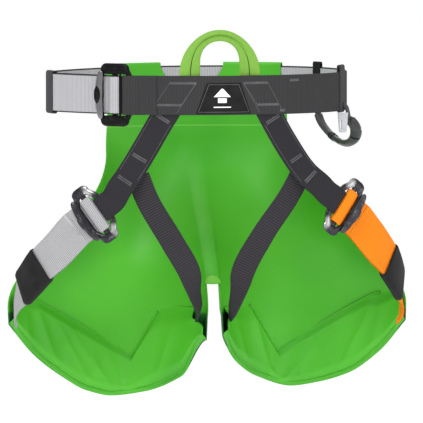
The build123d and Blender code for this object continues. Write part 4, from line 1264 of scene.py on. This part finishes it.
def drape(share, z):  # wide shallow waves of the hanging sheet
    wave = np.sin(share * 7.3 + z / mm * 0.011 + 0.8) * np.sin(z / mm * 0.021 + 1.9 * share + 0.4)
    calm = smooth((-30 * mm - z) / (60 * mm))
    return 1.6 * mm * wave * calm


def makeSeatSheet():
    columns, upper, lower = 110, 120, 70
    share = np.linspace(0, 1, columns) ** 1.05
    blocks, uvs, mouthShadeMasks = [], [], []
    for side, sign in (("left", -1), ("right", 1)):
        hem = hemAt(side, share)
        top = np.linspace(seat["top"], seat["slotTop"], upper)[:, None] + 0 * share[None, :]
        v = np.linspace(0, 1, lower + 1)[1:, None]
        low = seat["slotTop"] + (hem - seat["slotTop"])[None, :] * v
        z = np.concatenate([top, low])
        depth = np.clip((z - seat["slotTop"]) / (hem - seat["slotTop"])[None, :], 0, 1)
        # flatter where the pocket covers it
        under = smooth((weldAt(side, share)[None, :] - z) / (8 * mm))
        push = drape(share[None, :] * (1 if sign > 0 else 1.13), z) * (1 - 0.7 * under)
        push += 0.45 * folds(side, share[None, :], depth) * (1 - under)
        points = seatPoint(share[None, :] + 0 * z, z, push)
        # the weld line across the top of the panel is a shallow step
        points[..., 1] -= 0.5 * mm * np.exp(-((z + 46 * mm) / (0.9 * mm)) ** 2)
        points[..., 0] *= sign
        blocks.append(points)
        uvs.append(np.stack([points[..., 0], z], axis=-1))
        # painted shade: the sheet near the pocket mouths, below their openings, is darkened as if in shadow
        mouths = np.maximum(smooth((0.17 - share) / 0.03), smooth((share - 0.95) / 0.02))[None, :]
        mouthShadeMasks.append(mouths * smooth((-252 * mm - z) / (5 * mm)))
    left, right = blocks[0][:, ::-1], blocks[1]
    bridge = np.linspace(-1, 1, 9)[1:-1]
    rows = upper
    a, b = left[:rows, -1], right[:rows, 0]
    middle = a[:, None, :] * ((1 - bridge) / 2)[None, :, None] + \
                              b[:, None, :] * ((1 + bridge) / 2)[None, :, None]
    middle[..., 1] -= 2.4 * mm * (1 - bridge[None, :] ** 2) * \
                                  smooth((-60 * mm - a[:, 2:3]) / (100 * mm))
    total = upper + lower
    width = 2 * columns
    points = np.concatenate([left, right], axis=1).reshape(-1, 3)
    uv = np.concatenate([uvs[0][:, ::-1], uvs[1]], axis=1).reshape(-1, 2)
    faces = gridFaces(total, width)
    column = np.arange(len(faces)) % (width - 1)
    faces = faces[column != columns - 1]
    start = len(points)
    points = np.concatenate([points, middle.reshape(-1, 3)])
    uv = np.concatenate([uv, np.stack([middle[..., 0], middle[..., 2]], axis=-1).reshape(-1, 2)])
    strip = np.concatenate([np.arange(rows)[:, None] * width + columns - 1,
                            start + np.arange(rows * 7).reshape(rows, 7),
                            np.arange(rows)[:, None] * width + columns], axis=1)
    faces = np.concatenate([faces, np.stack([strip[:-1, :-1], strip[1:, :-1], strip[1:, 1:], strip[:-1, 1:]],
                                            axis=-1).reshape(-1, 4)])
    obj = makeObject("seatSheet", points, faces, uv)
    mouthShade = np.concatenate([mouthShadeMasks[0][:, ::-1], mouthShadeMasks[1]], axis=1).ravel()
    setField(obj, "mouthShade", np.concatenate([mouthShade, np.zeros(len(points) - len(mouthShade))]))
    finish(obj, greenSheet, nodes=["seat_panel"])
    solid = obj.modifiers.new("wall", "SOLIDIFY")
    solid.thickness, solid.offset = seat["sheet"], -1


def makePocket(side):
    # the front layer rises from its weld, stands off over the strap and comes back at the hem
    sign = sides[side]
    columns, rows = 150, 64
    v = np.linspace(0, 1, rows)[:, None]
    innerCut, outerCut = 0.15 * (1 - smooth(v / 0.6)), 0.04 * (1 - smooth(v / 0.5))
    share = innerCut + (1 - innerCut - outerCut) * np.linspace(0, 1, columns)[None, :]
    hem, weld = hemAt(side, share), weldAt(side, share)
    z = weld + (hem + 0.6 * mm - weld) * v
    x = seatSection(share, hem)[0]
    # where the weld is a clear line
    shown = smooth((x - 46 * mm) / (14 * mm)) * smooth((206 * mm - x) / (14 * mm))
    profile = smooth(v / (0.26 - 0.10 * shown)) * smooth((1 - v) / 0.22)
    gape = 1 + 0.6 * np.exp(-((share - innerCut) / 0.06) ** 2) + 0.5 * \
                            np.exp(-((1 - outerCut - share) / 0.05) ** 2)
    stand = (1.2 * shown + 0.4) * mm + seat["pocket"] * profile * gape
    crease = folds(side, share, 0.25 + 0.75 * v) * profile
    hemBand = 0.4 * mm * smooth((v - 0.88) / 0.03)
    points = seatPoint(share, z, stand + 0.9 * crease + hemBand)
    points[..., 0] *= sign
    uv = np.stack([points[..., 0], z], axis=-1)
    faces = gridFaces(rows, columns)
    if sign < 0:
        faces = faces[:, ::-1]
    obj = makeObject("seatPocket" + side.title(), points, faces, uv)
    finish(obj, greenSheet, nodes=["seat_pocket_" + side])
    solid = obj.modifiers.new("wall", "SOLIDIFY")
    solid.thickness, solid.offset = seat["sheet"], -1
    fine = np.linspace(0.05, 0.97, 900)
    x = seatSection(fine, np.full(900, -290 * mm))[0]
    fine = fine[(x > 52 * mm) & (x < 208 * mm)]
    bead = seatPoint(fine, weldAt(side, fine), 1.5 * mm)
    bead[:, 0] *= sign
    threads("weldBead" + side.title(), [bead], greenSheet, 1.2 * mm)
    fine = np.linspace(0.02, 0.98, 700)
    bead = seatPoint(
    fine,
    hemAt(
        side,
        fine) +
        4.5 *
        mm,
        3.6 *
        mm +
        0.4 *
        folds(
            side,
            fine,
            np.full(
                700,
                 0.95)))
    bead[:, 0] *= sign
    threads("hemBead" + side.title(), [bead], greenSheet, 0.6 * mm)


def makeTunnelStrap(side):
    sign = sides[side]
    share = np.linspace(0.17, 0.95, 300)
    knots = np.linspace(0, 1, 11)
    heights = np.array([-263, -275, -289, -304, -319, -329, -328, -315, -296, -273, -250]) * mm
    z = through(heights[:, None], knots, share)[:, 0]
    points = seatPoint(share, z, 2.6 * mm)
    outer = seatPoint(share, z, 0.0)
    points[:, 0] *= sign
    outer[:, 0] *= sign
    path = evenly(points, unit(points - outer), 0.8 * mm)
    end = path[2][-1]
    widths = ([0, 20 * mm, end - 20 * mm, end], [9 * mm, 15 * mm, 15 * mm, 9 * mm])
    obj = webbing("tunnelStrap" + side.title(), path, 15 * mm,
                  1.2 * mm, 2.4 * mm, 0.1 * mm, widths=widths)
    finish(obj, strapWeb, nodes=["tunnel_strap_" + side])


def makeFlap(side, startX, endX):
    # a strip that comes up behind the rear belt, turns over its top and hangs inside
    angle = np.linspace(backAngle(endX), backAngle(startX), 80)
    outer, inner = seat["offset"] - 0.6 * mm, -ring["web"] / 2 - 1.2 * mm
    top = belt["half"] + 1.2 * mm
    t = np.linspace(0, 1, 60)
    low = -belt["half"] + 5 * mm
    middle, half = (outer + inner) / 2, (outer - inner) / 2
    turn = np.clip((t - 0.25) / 0.2, 0, 1) * math.pi
    offset = middle + half * np.cos(turn)
    z = np.where(t < 0.25, 4 * mm + (top - 4 * mm) * t / 0.25,
                 np.where(t < 0.45, top + half * np.sin(turn) * 0.8, top + (low - top) * (t - 0.45) / 0.55))
    flare = 1 + 0.04 * smooth((t - 0.45) / 0.5)
    centre = angle.mean()
    lean = 2.4 * smooth((t[:, None] - 0.45) / 0.3) * (angle[None, :] <
                        centre if side == "left" else angle[None, :] > centre)
    across = np.abs(angle[None, :] - centre) / np.abs(angle[0] - centre)
    spreadAngle = centre + (angle[None, :] - centre) * flare[:, None] + \
                            lean * across * (-1 if side == "left" else 1)
    wave = 0.5 * mm * np.sin(angle[None, :] * 0.55 + 1.1 * t[:, None]
                             * 5) * smooth((t[:, None] - 0.5) * 3)
    points = ringPoint(spreadAngle, offset[:, None] - np.abs(wave), z[:, None])
    uv = np.stack([points[..., 0], t[:, None] * 0.09 + 0 * angle[None, :]], axis=-1)
    obj = makeObject("seatFlap" + side.title(), points, gridFaces(60, 80), uv)
    finish(obj, greenSheet, nodes=["seat_flap_" + side])
    solid = obj.modifiers.new("wall", "SOLIDIFY")
    solid.thickness, solid.offset = 1.0 * mm, 0


def makeCrotchTab():
    r = np.linspace(0, 1, 14)[:, None]
    a = np.linspace(0, math.pi, 40)[None, :]
    x = 9 * mm * r * np.cos(a)
    z = seat["slotTop"] + 0.5 * mm + 9 * mm * r * np.sin(a)
    base = seatPoint(np.full(1, 0.0), np.full(1, seat["slotTop"]), seat["sheet"])[0]
    upper = seatPoint(np.full(1, 0.0), np.full(1, seat["slotTop"] + 12 * mm), seat["sheet"])[0]
    slope = (upper[1] - base[1]) / (12 * mm)
    y = base[1] + slope * (z - seat["slotTop"]) - 2.8 * mm * \
                           (1 - (x / (9 * mm)) ** 2) - 1.0 * mm - 0.4 * mm * (1 - r ** 4)
    points = np.stack(np.broadcast_arrays(x, y, z), axis=-1)
    obj = makeObject("crotchTab", points, gridFaces(14, 40)[
                     :, ::-1], np.stack([x + 0 * z, z + 0 * x], axis=-1))
    finish(obj, tabSheet, nodes=["crotch_tab"])
    solid = obj.modifiers.new("wall", "SOLIDIFY")
    solid.thickness, solid.offset = 0.8 * mm, 0


makeSeatSheet()
for side in sides:
    makePocket(side)
    makeTunnelStrap(side)
makeFlap("left", -108.0, -41.0)
makeFlap("right", 33.0, 98.0)
makeCrotchTab()
print("seat made")

# ---- the tongue keeps its CAD shape ----
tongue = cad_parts["gear_loop_tongue"]
tongue.data.materials.clear()
tongue.data.materials.append(lightTongue)
